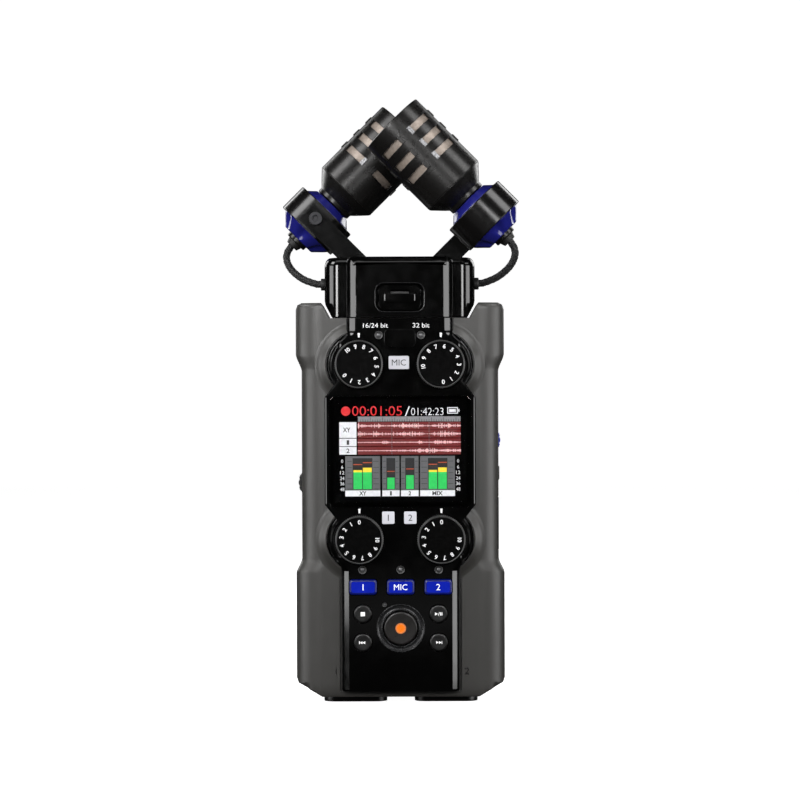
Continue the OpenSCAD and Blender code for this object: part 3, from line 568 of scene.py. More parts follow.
def make_case():
    outer = case_loft("front_shell_v", 0.0)
    inner = case_loft("inner", 2.0)
    boolean(inner, notch(2.0))
    boolean(outer, [notch(0.0), inner])
    rear = link(bpy.data.objects.new("rear_shell_v", outer.data.copy()))
    boolean(outer, block(-50, 50, 0.0, 60, -10, 160))
    boolean(rear, block(-50, 50, -60, 0.0, -10, 160))
    front = outer
    cuts = []
    cuts.append(block(-23.2, 23.2, -18, -14, 69.1, 105.3))
    for x in (-12.9, 0, 12.9):
        cuts.append(block(x - 5.5, x + 5.5, -18, -14, 37.4, 43.6))
    for x, z in ((-13, 31.3), (13, 31.3), (-13, 21.5), (13, 21.5)):
        cuts.append(cylinder_y(x, z, 3.75, -18, -14))
    for x, z, _ in KNOBS.values():
        cuts.append(cylinder_y(x, z, 3.5, -18, -14))
    cuts.append(cylinder_y(0, 26.4, 5.95, -18, -14))
    for x in (-15.75, 15.75):
        c = lathe("c", [(0, 1), (9.8, 1), (9.8, 6), (0, 6)], 64)
        cuts.append(transform(c, T(x, 3, 0)))
    cuts.append(block(-9.4, 9.4, -2.4, 4.4, 129, 134))
    # narrow grooves beside the lower panel
    for s in (-1, 1):
        cuts.append(block(min(s * 20.0, s * 21.0), max(s * 20.0, s * 21.0), -18, -16.2, 4.4, 46.0))
    # engraved input numbers
    cuts.append(transform(text_mesh("1", 3.3, 2.0, "case"), T(-22.25, -15.15, 11.15)))
    cuts.append(transform(text_mesh("2", 3.3, 2.0, "case"), T(22.75, -15.15, 11.35)))
    # left side openings
    for z in (60, 92):
        c = lathe("c", [(0, 0), (3.0, 0), (3.0, 8), (0, 8)], 48)
        cuts.append(transform(c, T(-39, -5.4, z) @ R("Y", 90)))
    def side(x0, x1, y0, y1, z0, z1, r=0.6):
        o = loft("c", [[(x, a, b) for a, b in rrect(y1 - y0, z1 - z0, r, 4, (y0 + y1) / 2, (z0 + z1) / 2)] for x in (x0, x1)])
        return o
    cuts.append(side(-39, -31, -6.3, -1.7, 76.1 - 6.0, 76.1 + 6.0))
    cuts.append(side(-39, -31, -6.3, -2.7, 101.6, 109.3, 1.0))
    cuts.append(side(-39, -31, -8.7, -4.9, 17.2, 26.8, 1.8))
    cuts.append(side(31, 39, -6.3, -1.7, 90.65 - 5.4, 90.65 + 5.4))
    cuts.append(side(31, 39, -6.2, -1.8, 76.5, 81.9, 0.8))
    cuts.append(side(32.55, 39, -13.3, -2.5, 52.75, 71.25, 0.5))
    cuts.append(side(31, 39, -9.2, -4.8, 55.5, 68.5, 0.6))
    boolean(front, cuts)
    bevel(front, 0.22, 2, 38)
    # soft lips round the knob rings
    lips = []
    for x, z, _ in KNOBS.values():
        prof = [(11.35, -0.4), (11.36, 1.35), (11.42, 1.66), (11.56, 1.80), (11.72, 1.80), (11.95, 1.66), (12.3, 1.41), (12.7, 1.11), (13.1, 0.80), (13.55, 0.47), (14.1, 0.19), (14.7, 0.04), (15.3, -0.03), (15.3, -0.4)]
        lips.append(to_front(lathe("lip", prof, 96, "case"), x, z, YF))
    front = merge_in(front, *lips)
    # board posts and screw posts
    posts = [cylinder_y(x, z, 2.6, -15.4, 0, 32, "post", "case") for x, z in ((-30.4, 12), (30.4, 12), (-29.4, 127.5), (29.4, 127.5))]
    front = merge_in(front, *posts)
    done(front, "recorder", "front_shell", angle=32)

    rc = [block(-30.6, 30.6, 19.6, 23, 42.6, 104.5), block(-30.6, 30.6, 19.3, 23, 104.4, 108.5)]
    rc.append(cylinder_y(0, 35.5, 4.2, 14.1, 23))
    for x, z in ((-30.4, 12), (30.4, 12), (-29.4, 127.5), (29.4, 127.5)):
        rc.append(cylinder_y(x, z, 2.05, 15, 23, 32))
    for k in range(-3, 4):
        h = 8 - abs(k) * 0.9
        rc.append(prism("s", rrect(2 * h, 1.2, 0.58, 5, 0, 121 + k * 2.6), 15, 23))
    for x in (-15.75, 15.75):
        c = lathe("c", [(0, 1), (9.8, 1), (9.8, 6), (0, 6)], 64)
        rc.append(transform(c, T(x, 3, 0)))
    rc.append(block(-9.4, 9.4, -2.4, 4.4, 129, 134))
    for s in (-1, 1):
        rc.append(block(min(s * 30.5, s * 31.7), max(s * 30.5, s * 31.7), 20.0, 21.6, 106.2, 107.8))
    boolean(rear, rc)
    bevel(rear, 0.22, 2, 38)
    extra = [cylinder_y(x, z, 2.6, 0, 7.9, 32, "post", "case") for x, z in ((-30.4, 12), (30.4, 12), (-29.4, 127.5), (29.4, 127.5))]
    extra += [block(-32.5, 32.5, 17.8, 19.3, 104.4, 109.5, "shelf", "case", 0.2)]
    rear = merge_in(rear, *extra)
    done(rear, "recorder", "rear_shell", angle=32)
make_case()

# ------------------------------------------------------------------ glossy front panel
def make_panel():
    neck, blk, low = (3.05, 2.6), (0.6, 0.6), (2.5, 2.1)
    raw = [(18.4, 132.75), (18.4, 128.8), (18.9, 127.0), (20.6, 125.1), (21.3, 124.2), (21.3, 111.6), (25.9, 105.6), (25.9, 68.8), (21.4, 63.0), (21.2, 62.0), (21.2, 50.4), (21.2, 49.3), (20.25, 46.6), (20.25, 5.4), (19.9, 4.75)]
    rr = [0, 5, 2.0, 0.3, 0.5, 0.8, 1.2, 1.2, 0.8, 0.5, 0.3, 0.3, 4, 0.2, 0]
    path = rounded([(x, z) for x, z in raw], rr, 5)
    side = []
    for x, z in path:
        if z > 128: w, d = neck
        elif z > 124:
            t = (128 - z) / 4; w, d = neck[0] * (1 - t) + 1.2 * t, neck[1] * (1 - t) + 1.2 * t
        elif z > 50: w, d = blk
        elif z > 46:
            t = (50 - z) / 4; w, d = blk[0] * (1 - t) + low[0] * t, blk[1] * (1 - t) + low[1] * t
        elif z > 6.5: w, d = low
        else: w, d = low[0], low[1]
        side.append((x, z, w, d))
    p = rolled("front_panel_v", side, YP, YF, "gloss", steps=7)
    cuts = []
    for x, z, _ in KNOBS.values():
        cuts.append(cylinder_y(x, z, 8.75, -22, -17.9, 96))
    # rebate and opening of the window; its corners are cut at 45 degrees
    c = 1.5
    win = [(24.42 - c, 106.22), (24.42, 106.22 - c), (24.42, 67.78 + c), (24.42 - c, 67.78), (-24.42 + c, 67.78), (-24.42, 67.78 + c), (-24.42, 106.22 - c), (-24.42 + c, 106.22)]
    cuts.append(prism("w", win, -22, -19.35))
    cuts.append(block(-22.8, 22.8, -22, -16, 69.5, 104.9))
    for x in (-12.9, 0, 12.9):
        cuts.append(prism("k", rrect(9.36 + 0.6, 5.07 + 0.6, 1.3, 6, x, 40.5), -22, -16))
        cuts.append(block(x - 5.5, x + 5.5, -18.3, -16, 37.4, 43.6))
    for x, z in ((-13, 31.3), (13, 31.3), (-13, 21.5), (13, 21.5)):
        cuts.append(cylinder_y(x, z, 3.35, -22, -16, 64))
        cuts.append(cylinder_y(x, z, 3.75, -18.3, -16, 48))
    cuts.append(prism("k", rrect(8.1 + 0.6, 4.4 + 0.6, 1.1, 6, 0, 125.8), -22, -16))
    cuts.append(loft("k", [[(x, y, z) for x, z in rrect(w_, h_, r_, 6, 0, 125.8)] for y, w_, h_, r_ in ((-22, 10.5, 6.0, 1.5), (YP - 0.01, 10.5, 6.0, 1.5), (-20.2, 9.7, 5.2, 1.2), (-20.1, 9.6, 5.1, 1.2))]))
    cuts.append(cylinder_y(0, 26.4, 8.3, -22, -18.5, 96))
    cuts.append(cylinder_y(0, 26.4, 5.95, -22, -16, 96))
    for x, z, r in ((-13.1, 46.4, 1.42), (0, 46.4, 1.42), (13.1, 46.4, 1.42), (-7.25, 126.9, 1.42), (7.25, 126.9, 1.42), (-5.5, 34.5, 0.85)):
        cuts.append(cylinder_y(x, z, r, -22, -16, 40))
    boolean(p, cuts)
    bevel(p, 0.14, 2, 40)
    more = []
    for x, z, _ in KNOBS.values():
        prof = [(3.5, 0.0), (3.5, 0.45), (8.5, 0.45), (8.55, 1.3), (9.15, 1.35), (9.35, 1.75), (9.65, 1.75), (9.85, 1.25), (10.5, 1.05), (10.95, 1.2), (11.1, 1.9), (11.3, 1.9), (11.34, 0.0)]
        more.append(to_front(lathe("lobe", rounded(prof, [0, 0.1, 0.2, 0.15, 0.1, 0.12, 0.12, 0.15, 0.3, 0.2, 0.08, 0.1, 0], 3), 128, "gloss"), x, z, YF))
    p = merge_in(p, *more)
    # printed marks: pointer ticks and generic labels
    def chip(x, z, w, h, s, size):
        base = prism("chip", rrect(w, h, 0.45, 4, x, z), YP - 0.03, YP + 0.02, "label")
        return [base, transform(text_mesh(s, size, 0.02, "labeltext"), T(x, YP - 0.05, z))]
    marks = []
    for x, z, top in ((-14.05, 126.9, 0), (14.05, 126.9, 0), (-14.05, 66.6, 0), (14.05, 66.6, 0)):
        marks.append(prism("tick", [(x - 0.42, z + 0.78), (x + 0.42, z + 0.78), (x + 0.26, z - 0.72), (x - 0.26, z - 0.72)], YP - 0.03, YP + 0.02, "white"))
    marks += chip(-0.35, 117.5, 7.0, 4.5, "MIC", 3.0)
    marks += chip(-4.15, 64.3, 4.25, 4.25, "1", 3.1)
    marks += chip(3.4, 64.3, 4.25, 4.25, "2", 3.1)
    marks.append(transform(text_mesh("16/24 bit", 2.25, 0.03, "white", bold=0.0, scale_x=1.12), T(-8.3, YP - 0.02, 130.25)))
    marks.append(transform(text_mesh("32 bit", 2.25, 0.03, "white", bold=0.0, scale_x=1.12), T(7.3, YP - 0.02, 130.25)))
    # a thin grey bead on the recess rim paints the rim's highlight line
    ring = [Vector((x, YP + 0.02, z)) for x, z in rrect(10.5, 6.0, 1.5, 8, 0, 125.8)]
    marks.append(tube("highlight_bead", ring + ring[:1], 0.11, 8, "highlight_bead"))
    p = merge_in(p, *marks)
    done(p, "recorder", "front_panel", angle=30)
M["label"] = surface("label_grey", rgb(196, 196, 203), 0.45, vary=0.02, scale=900, bump=(5000, 0.001))
M["labeltext"] = surface("label_ink", rgb(30, 30, 34), 0.5, vary=0.05, scale=900, bump=(5000, 0.001))
make_panel()

# ------------------------------------------------------------------ window and display
def make_window():
    m, nt, b = new_mat("window_glass")
    tc = nt.nodes.new("ShaderNodeTexCoord").outputs["Object"]
    n1 = noise_node(nt, tc, 60, 2.0)
    nt.links.new(ramp_col(nt, n1, (0.93, 0.94, 0.95), (0.97, 0.975, 0.98)), b.inputs["Base Color"])
    nt.links.new(ramp_val(nt, n1, 0.0, 0.015), b.inputs["Roughness"])
    b.inputs["Transmission Weight"].default_value = 1.0
    b.inputs["IOR"].default_value = 1.35
    M["glass"] = m
    c = 1.5
    def outline(g):
        w, t, bt = 24.3 - g, 106.1 - g, 67.9 + g
        return [(w - c, t), (w, t - c), (w, bt + c), (w - c, bt), (-w + c, bt), (-w, bt + c), (-w, t - c), (-w + c, t)]
    rings = [[(x, y, z) for x, z in outline(g)] for g, y in ((0, -19.36), (0, -20.42), (0.13, -20.55))]
    glass = loft("display_window_v", rings, "glass")
    done(glass, "recorder", "display_window", angle=20, wn=False)
    # the black printed border behind the glass; the thin light line at the glass edge comes from the glass's own
    # chamfer
    frame_ = prism("mask", outline(0.25), -19.350, -19.342, "maskblack")
    done(frame_, "recorder", (), wn=False)
    frame_.name = "display_border"
M["maskblack"] = surface("printed_black", rgb(1, 1, 1), 0.12, vary=0.2, scale=400, bump=(2000, 0.0005))
make_window()

YS = -19.36
def sx(px): return (px - 400.0) * 0.3432
def sz(py): return 104.65 + (400.0 - py) * 0.3432

def make_screen():
    parts = []
    red = lit("ui_red", rgb(215, 14, 24), 0.85, pixel=0.12); dark = lit("ui_dark_red", rgb(104, 3, 6), 0.9, pixel=0.12)
    white = lit("ui_white", rgb(225, 225, 228), 0.85); grey = lit("ui_grey", rgb(86, 86, 88), 1.0, pixel=0.12)
    black = lit("ui_black", rgb(8, 8, 10), 1.0); green = lit("ui_green", rgb(32, 190, 84), 1.0, pixel=0.12)
    yellow = lit("ui_yellow", rgb(235, 205, 40), 1.0); wave = lit("ui_wave", rgb(236, 190, 190), 0.9)
    peak = lit("ui_peak", rgb(190, 70, 30), 1.0); ink = lit("ui_ink", rgb(30, 30, 32), 1.0); ruler = lit("ui_ruler", rgb(150, 150, 152), 1.0)
    mid = lit("ui_mid_grey", rgb(120, 120, 122), 1.0)
    layers = {}
    def rect(x0, y0, x1, y1, m, level):
        y = YS - 0.004 * level
        o = mesh_object("ui", [(sx(x0), y, sz(y1)), (sx(x1), y, sz(y1)), (sx(x1), y, sz(y0)), (sx(x0), y, sz(y0))], [[0, 1, 2, 3]], m)
        parts.append(o)
    def rects(items, m, level):
        v, f = [], []
        y = YS - 0.004 * level
        for x0, y0, x1, y1 in items:
            k = len(v)
            v += [(sx(x0), y, sz(y1)), (sx(x1), y, sz(y1)), (sx(x1), y, sz(y0)), (sx(x0), y, sz(y0))]
            f.append([k, k + 1, k + 2, k + 3])
        parts.append(mesh_object("ui", v, f, m))
    def text(s, cx, cy, h, w, m, level=4, bold=0.0):
        t = text_mesh(s, h * 0.3432 * 1.40, 0.002, m, bold=bold)
        co = np.array([v.co for v in t.data.vertices]) / MM
        cur_w, cur_h = co[:, 0].max() - co[:, 0].min(), co[:, 2].max() - co[:, 2].min()
        transform(t, Matrix.Diagonal((w * 0.3432 / cur_w, 1, h * 0.3432 / cur_h, 1)))
        parts.append(transform(t, T(sx(cx), YS - 0.004 * level, sz(cy))))
    # time line
    circ = arc(sx(345.7), sz(411), 4.7 * 0.3432, 0, 350, 35)
    parts.append(mesh_object("ui", [(x, YS - 0.012, z) for x, z in circ], [list(range(len(circ)))], red))
    text("00:01:05", 377, 410.8, 9.6, 50.0, red, bold=-0.02)
    text("/", 407.3, 411.2, 9.6, 5.0, white, bold=-0.02)
    text("01:42:23", 427.2, 411.6, 7.4, 32.5, white, bold=-0.035)
    rects([(447.2, 407.4, 457.8, 408.2), (447.2, 413.0, 457.8, 413.8), (447.2, 407.4, 448.0, 413.8), (457.0, 407.4, 457.8, 413.8), (458.2, 409.2, 459.4, 412.0), (449.0, 409.2, 456.0, 412.2)], white, 3)
    # ruler
    rect(357.7, 416.4, 460.4, 421.4, mid, 1)
    rects([(357.7 + 2.45 * k, 419.4 if k % 5 else 417.4, 357.7 + 2.45 * k + 0.45, 421.4) for k in range(42)], ink, 2)
    rows = [(421.9, 429.6, 0), (430.0, 437.7, 1), (438.5, 446.0, 2), (446.7, 454.4, 3)]
    rng = np.random.default_rng(7)
    for y0, y1, k in rows:
        rect(357.7, y0, 460.4, y1, dark, 1)
        cy, hh = (y0 + y1) / 2, (y1 - y0) / 2
        if k < 2:
            amp = 0.12 + 0.30 * np.abs(np.sin(np.linspace(0.4, 23 + k, 206))) * rng.random(206) + 0.5 * rng.random(206) ** 3
            amp *= 0.85 * np.interp(np.arange(206), [0, 18, 40, 60, 84, 110, 140, 165, 205], [1.4, 0.7, 1.5, 0.6, 1.3, 1.5, 0.6, 1.4, 0.9])
            amp = amp ** 1.35
        else:
            amp = 0.05 + 0.05 * rng.random(206) + np.interp(np.arange(206), [0, 46, 58, 62, 118, 124, 130, 150, 156, 205], [0.04, 0.06, 0.62, 0.05, 0.05, 0.5, 0.05, 0.08, 0.55, 0.04] if k == 2 else [0.04, 0.04, 0.1, 0.06, 0.3, 0.6, 0.3, 0.72, 0.3, 0.4]) * rng.random(206)
        rects([(357.7 + 0.5 * j, cy - hh * min(0.92, a), 357.7 + 0.5 * j + 0.42, cy + hh * min(0.92, a)) for j, a in enumerate(amp)], wave, 2)
    rects([(x, y, x + 0.7, y + 0.9) for x in (391.4, 428.6) for y in np.arange(417, 454, 1.8)], grey, 3)
    rect(339.2, 422.0, 356.4, 437.7, white, 1); rect(339.2, 438.5, 356.4, 446.0, white, 1); rect(339.2, 446.7, 356.4, 454.4, white, 1)
    text("XY", 346.5, 429.8, 4.6, 7.4, ink, bold=0.05); text("1", 347.8, 442.3, 4.6, 2.4, ink, bold=0.05); text("2", 347.8, 450.6, 4.6, 3.2, ink, bold=0.05)
    # meters
    for x0, x1 in ((345, 380), (382, 399.2), (400.7, 418.3), (419.8, 454.7)):
        rect(x0, 456, x1, 489.8, grey, 1)
    for x0, x1 in ((352.4, 372.2), (386.2, 395.0), (405.0, 414.2), (427.7, 447.2)):
        rect(x0, 458, x1, 489.3, black, 2)
    bars = [(353.2, 472.0, 361.9), (362.7, 467.6, 371.5), (387.0, 477.5, 394.3), (405.8, 475.2, 413.5), (428.4, 472.0, 436.9), (437.9, 467.6, 446.5)]
    rects([(a, y if y > 472 else 472.0, b, 489.0) for a, y, b in bars], green, 3)
    rects([(353.2, 470.0, 361.9, 472.0), (362.7, 467.6, 371.5, 472.0), (428.4, 470.0, 436.9, 472.0), (437.9, 467.6, 446.5, 472.0)], yellow, 3)
    rects([(353.2, 464.0, 361.9, 464.8), (362.7, 462.1, 371.5, 462.9), (428.4, 464.0, 436.9, 464.8), (437.9, 462.1, 446.5, 462.9), (387.0, 471.0, 394.3, 471.7), (405.8, 468.6, 413.5, 469.3)], peak, 3)
    rects([(a, y, b, y + 0.45) for a, b in ((347.0, 351.6), (373.0, 378.5), (382.8, 385.6), (395.6, 398.4), (401.2, 404.4), (414.8, 417.6), (421, 426.9), (448.0, 453)) for y in (461, 467, 472.5, 478.2, 483.5, 488.6)], ink, 3)
    for x0, x1, s in ((345, 380, "XY"), (382, 399.2, "1"), (400.7, 418.3, "2"), (419.8, 454.7, "MIX")):
        rect(x0, 490.3, x1, 496.2, white, 1)
        text(s, (x0 + x1) / 2, 493.25, 4.3, {"XY": 7.2, "1": 1.8, "2": 2.6, "MIX": 10.5}[s], ink, bold=0.06)
    for n, y in (("0", 461), ("6", 467), ("12", 472.5), ("24", 478.2), ("36", 483.5), ("48", 489.2)):
        for x in (342.0, 457.9):
            text(n, x, y, 3.4, 1.9 * len(n) + 0.4 * (len(n) - 1), white)
    ui = join(parts, "screen_picture")
    done(ui, "recorder", (), angle=30, wn=False)
    for pl in ui.data.polygons:
        pl.use_smooth = False
    upgrade("display_module", "satin", 0.15)
make_screen()

# ------------------------------------------------------------------ knobs
M["knobface"] = surface("knob_face", rgb(4, 4, 4), 0.13, vary=0.3, rvary=0.03, scale=320, bump=(5200, 0.0015))
# the knob rim's lighter grey is a painted highlight of the knob's chamfer
M["knobrim_highlight"] = surface("knob_rim_painted_highlight", rgb(62, 62, 62), 0.42, metallic=0.7, vary=0.1, rvary=0.06, scale=600, bump=(4000, 0.003))
def make_knob(name, x, z, value):
    seg = 288
    def ring(r, h, amp):
        pts = []
        for k in range(seg):
            a = 2 * math.pi * k / seg
            w = 0.5 + 0.5 * math.cos(72 * a)
            rr = r - amp * (1 - w)
            pts.append((rr * math.cos(a), rr * math.sin(a), h))
        return pts
    rings = [ring(8.05, 0.0, 0.0), ring(8.32, 0.18, 0.20), ring(8.36, 0.35, 0.26), ring(8.36, 5.55, 0.26), ring(8.34, 5.75, 0.22), ring(8.28, 5.86, 0.0)]
    body = loft(name + "_v", rings, "knob")
    # rolled rim in a lighter grey metal, its lighter grey a painted highlight of the chamfer, and a slightly hollow
    # face
    prof = [(8.10, 5.60), (8.24, 5.78), (8.26, 6.00), (8.22, 6.16), (8.10, 6.29), (7.95, 6.35), (7.84, 6.33), (7.76, 6.28), (7.6, 6.2)]
    rim = lathe("rim", prof, 144, "knobrim_highlight", closed=False)
    face = lathe("face", [(7.74, 6.25), (7.66, 6.315), (7.55, 6.32), (4.5, 6.27), (2.0, 6.25), (0, 6.245)], 96, "knobface", closed=False)
    bits = [rim, face]
    shaft = lathe("shaft", [(0, -3.4), (2.95, -3.4), (2.95, 0.2), (0, 0.2)], 40, "steel", closed=False)
    bits.append(shaft)
    o = merge_in(body, *bits)
    to_front(o, x, z, YF - 1.2)
    # numerals, climbing counter-clockwise
    nums = []
    for k in range(11):
        a = 90 + (k - value) * 27.0
        t = text_mesh(str(k), 2.05 if k < 10 else 1.95, 0.03, "white", bold=0.035, spacing=0.9)
        m = T(x + 6.15 * math.cos(math.radians(a)), -24.535, z + 6.15 * math.sin(math.radians(a))) @ R("Y", -(a - 90))
        nums.append(transform(t, m))
    o = merge_in(o, *nums)
    done(o, name, name, angle=28)
for n, (x, z, value) in KNOBS.items():
    make_knob(n, x, z, value)

# ------------------------------------------------------------------ keys
M["bluekey"] = lit("blue_key", rgb(8, 38, 212), 0.60, base=rgb(2, 6, 40), rough=0.16, vary=0.10, scale=220)
M["bluerim"] = lit("blue_key_rim", rgb(12, 30, 150), 0.28, base=rgb(6, 12, 60), rough=0.3, vary=0.1, scale=220)
M["glowwhite"] = lit("glow_white", rgb(238, 240, 250), 0.85, rough=0.4, vary=0.03)
# painted glow: the printed white icons on the transport keys are given emission, though no lamp lights them
M["icon_glow"] = lit("icon_white_painted_glow", rgb(225, 225, 225), 0.42, base=rgb(225, 225, 225), rough=0.5, vary=0.03)
M["orange"] = lit("orange_lamp", rgb(255, 118, 10), 1.0, base=rgb(120, 50, 6), rough=0.3, vary=0.10, scale=1500)
M["orangeglow"] = lit("orange_halo", rgb(236, 140, 70), 0.75, base=rgb(90, 46, 20), rough=0.4, vary=0.25, scale=1500)

def key_block(x, z, w, h, r, y_face, y_back, mat, roll=0.45, flange=0.0):
    """A key with a rolled front edge, its face slightly domed."""
    rings = []
    def ro(inset, y):
        return [(px, y, pz) for px, pz in rrect(w - 2 * inset, h - 2 * inset, max(0.12, r - inset * 0.8), 6, x, z)]
    rings.append(ro(0.0, y_back)); rings.append(ro(0.0, y_face + roll))
    for k in range(1, 5):
        a = math.radians(90 * k / 4)
        rings.append(ro(roll * (1 - math.cos(a)), y_face + roll * (1 - math.sin(a)) + 0.04))
    rings.append(ro(roll * 1.9, y_face + 0.0))
    return loft("key", rings, mat)

for n, x, s, size in (("track_button_1", -12.9, "1", 3.1), ("track_button_mic", 0.0, "MIC", 2.85), ("track_button_2", 12.9, "2", 3.1)):
    rim = key_block(x, 40.5, 9.36, 5.07, 1.0, -20.93, -18.0, "bluerim", 0.5)
    face = prism("face", rrect(8.0, 3.75, 0.75, 6, x, 40.5), -20.955, -20.90, "bluekey")
    txt = transform(text_mesh(s, size, 0.02, "glowwhite"), T(x, -20.957, 40.5))
    foot = block(x - 5.2, x + 5.2, -18.1, -17.4, 37.7, 40.3, "foot", "satin", 0.15)
    o = merge_in(rim, face, txt, foot)
    o.name = n + "_v"
    done(o, n, n, angle=30)

def round_key(n, x, z, icons):
    prof = [(0, 0.0), (3.5, 0.0), (3.5, 0.7), (3.05, 0.7), (3.05, 3.0), (3.02, 3.18), (2.93, 3.34), (2.78, 3.44), (2.55, 3.47), (1.6, 3.40), (0, 3.36)]
    o = lathe(n + "_v", prof, 72, "key", closed=False)
    to_front(o, x, z, -17.4)
    ic = []
    # the icons shine with painted glow
    for poly in icons:
        ic.append(prism("ic", [(x + a, z + b) for a, b in poly], -20.84, -20.70, "icon_glow"))
    o = merge_in(o, *ic)
    done(o, n, n, angle=32)
tri = lambda x0, x1, h: [(x0, -h), (x1, 0), (x0, h)]
triL = lambda x0, x1, h: [(x1, -h), (x1, h), (x0, 0)]
sq = lambda x0, x1, h: [(x0, -h), (x1, -h), (x1, h), (x0, h)]
round_key("stop_button", -13, 31.3, [sq(-0.72, 0.72, 0.72)])
round_key("play_button", 13, 31.3, [tri(-1.25, -0.25, 0.55), [(-0.2, -0.6), (0.0, -0.6), (0.35, 0.6), (0.15, 0.6)], sq(0.5, 0.78, 0.55), sq(0.98, 1.26, 0.55)])
round_key("rewind_button", -13, 21.5, [sq(-1.3, -1.06, 0.5), triL(-1.05, -0.15, 0.5), triL(-0.1, 0.8, 0.5)])
round_key("forward_button", 13, 21.5, [tri(-0.9, 0.0, 0.5), tri(0.05, 0.95, 0.5), sq(0.97, 1.2, 0.5)])

def make_record():
    prof = [(0, 0.0), (5.9, 0.0), (5.9, 0.5), (5.65, 0.5), (5.65, 3.55), (5.62, 3.74), (5.52, 3.88), (5.36, 3.96), (5.15, 3.99), (4.6, 3.93), (2.0, 3.86), (0, 3.85)]
    o = lathe("record_button_v", prof, 96, "recface", closed=False)
    to_front(o, 0, 26.4, -17.4)
    dot = prism("dot", arc(0, 26.4, 1.35, 0, 352, 44), -21.32, -21.2, "orange")
    halo = prism("halo", arc(0, 26.4, 1.82, 0, 352, 44), -21.30, -21.2, "orangeglow")
    o = merge_in(o, halo, dot)
    done(o, "record_button", "record_button", angle=30)
    ring = [(5.9, -2.0), (8.28, -2.0), (8.28, -0.15), (8.27, 0.02), (8.2, 0.14), (8.1, 0.18), (7.98, 0.12), (7.85, -0.05), (7.5, -0.25), (6.9, -0.32), (6.55, -0.2), (6.42, 0.1), (6.34, 0.18), (6.22, 0.14), (6.12, -0.05), (5.98, -0.5)]
    b = lathe("record_bezel_v", rounded(ring, 0.05, 2, closed=True), 144, "bezel")
    to_front(b, 0, 26.4, YP)
    done(b, "recorder", "record_bezel", angle=50)
M["recface"] = surface("record_face", rgb(20, 18, 17), 0.32, vary=0.08, rvary=0.05, scale=260, bump=(5200, 0.006))
M["bezel"] = surface("record_ring", rgb(44, 44, 45), 0.26, metallic=0.6, vary=0.08, rvary=0.03, scale=260, bump=(5200, 0.0004))
make_record()

def make_format():
    o = key_block(0, 125.8, 8.1, 4.4, 0.8, -20.55, -18.0, "gloss", 0.5)
    foot = block(-4.7, 4.7, -18.1, -17.4, 123.1, 128.5, "foot", "satin", 0.15)
    o = merge_in(o, foot)
    o.name = "format_button_v"
    done(o, "format_button", "format_button", angle=30)
make_format()

def make_lamps():
    M["lampglass"] = lit("lamp_grey", rgb(120, 120, 120), 0.10, base=rgb(70, 70, 72), rough=0.18, vary=0.2, scale=1500)
    M["lampring"] = surface("lamp_ring", rgb(64, 64, 64), 0.38, metallic=0.5, vary=0.1, scale=900, bump=(5000, 0.002))
    bits = []
    for x, z, r in ((-13.1, 46.4, 1.4), (0, 46.4, 1.4), (13.1, 46.4, 1.4), (-7.25, 126.9, 1.4), (7.25, 126.9, 1.4), (-5.5, 34.5, 0.8)):
        body = lathe("lens", [(0, -3.4), (r, -3.4), (r, -0.06), (r * 0.97, 0.0), (r * 0.86, 0.01), (r * 0.80, -0.05), (r * 0.52, -0.06), (r * 0.46, -0.02), (r * 0.3, 0.02), (0, 0.03)], 40, "lamp", closed=False)
        M.setdefault("lamp", None)
        body.data.materials.clear(); body.data.materials.append(M["satin"])
        core = lathe("core", [(r * 0.45, -0.04), (r * 0.36, 0.03), (0, 0.05)], 32, "lampglass", closed=False)
        rg = lathe("rg", [(r * 0.80, -0.06), (r * 0.84, 0.03), (r * 0.93, 0.05), (r * 0.99, 0.0), (r * 0.99, -0.1), (r * 0.82, -0.1)], 40, "lampring")
        for q in (body, core, rg):
            to_front(q, x, z, YP)
        bits += [body, core, rg]
    o = join(bits, "indicator_lenses_v")
    done(o, "recorder", "indicator_lenses", angle=35)
M["lamp"] = M["satin"]
make_lamps()

# ------------------------------------------------------------------ wheels, slider, side parts
def make_wheel(n, x, z, r, mat, y0=-6.0, y1=-2.0):
    rings = []
    seg = 216
    def ring(y, rr, amp):
        return [((rr - amp * (0.5 - 0.5 * math.cos(18 * t)) ** 2) * math.cos(t) + x, y, (rr - amp * (0.5 - 0.5 * math.cos(18 * t)) ** 2) * math.sin(t) + z) for t in [2 * math.pi * k / seg for k in range(seg)]]
    for y, rr, a in ((y0, r - 0.35, 0.12), (y0 + 0.1, r - 0.12, 0.2), (y0 + 0.3, r, 0.24), (y1 - 0.3, r, 0.24), (y1 - 0.1, r - 0.12, 0.2), (y1, r - 0.35, 0.12)):
        rings.append(ring(y, rr, a))
    o = loft(n + "_v", rings, mat)
    hub = cylinder_y(x, z, 1.9, y0 - 0.05, y1 + 0.05, 32, "hub", "satin")
    o = merge_in(o, hub)
    done(o, n, n, angle=30)
make_wheel("volume_wheel", -28.8, 76.1, 6.6, "satin")
make_wheel("select_wheel", 28.9, 90.65, 6.0, "bluewheel")
upgrade("power_slider", "satin", 0.2)
upgrade("menu_button", "satin", 0.3)
upgrade("card_door", "satin", 0.25)
upgrade("usb_port", "steel", 0.08)
upgrade("audio_jacks", "satin", 0.15)
upgrade("card_socket", "steel", 0.1)
upgrade("battery_cover", "case", 0.3)
upgrade("battery_tray", "satin", 0.25)
upgrade("speaker_driver", "cone", 0.2)
upgrade("tripod_insert", "brass", 0.15)
upgrade("case_screws", "screw", 0.1)
upgrade("main_board", "board", 0.05)
upgrade("preamp_board", "board", 0.05)
upgrade("control_pots", "steel", 0.1)
upgrade("wheel_encoders", "steel", 0.1)
upgrade("key_switches", "satin", 0.1)
upgrade("capsule_socket", "satin", 0.1)
upgrade("capsule_plug", "satin", 0.2)
upgrade("input_jacks", "satin", 0.15)
upgrade("input_collars", "satin", 0.3)

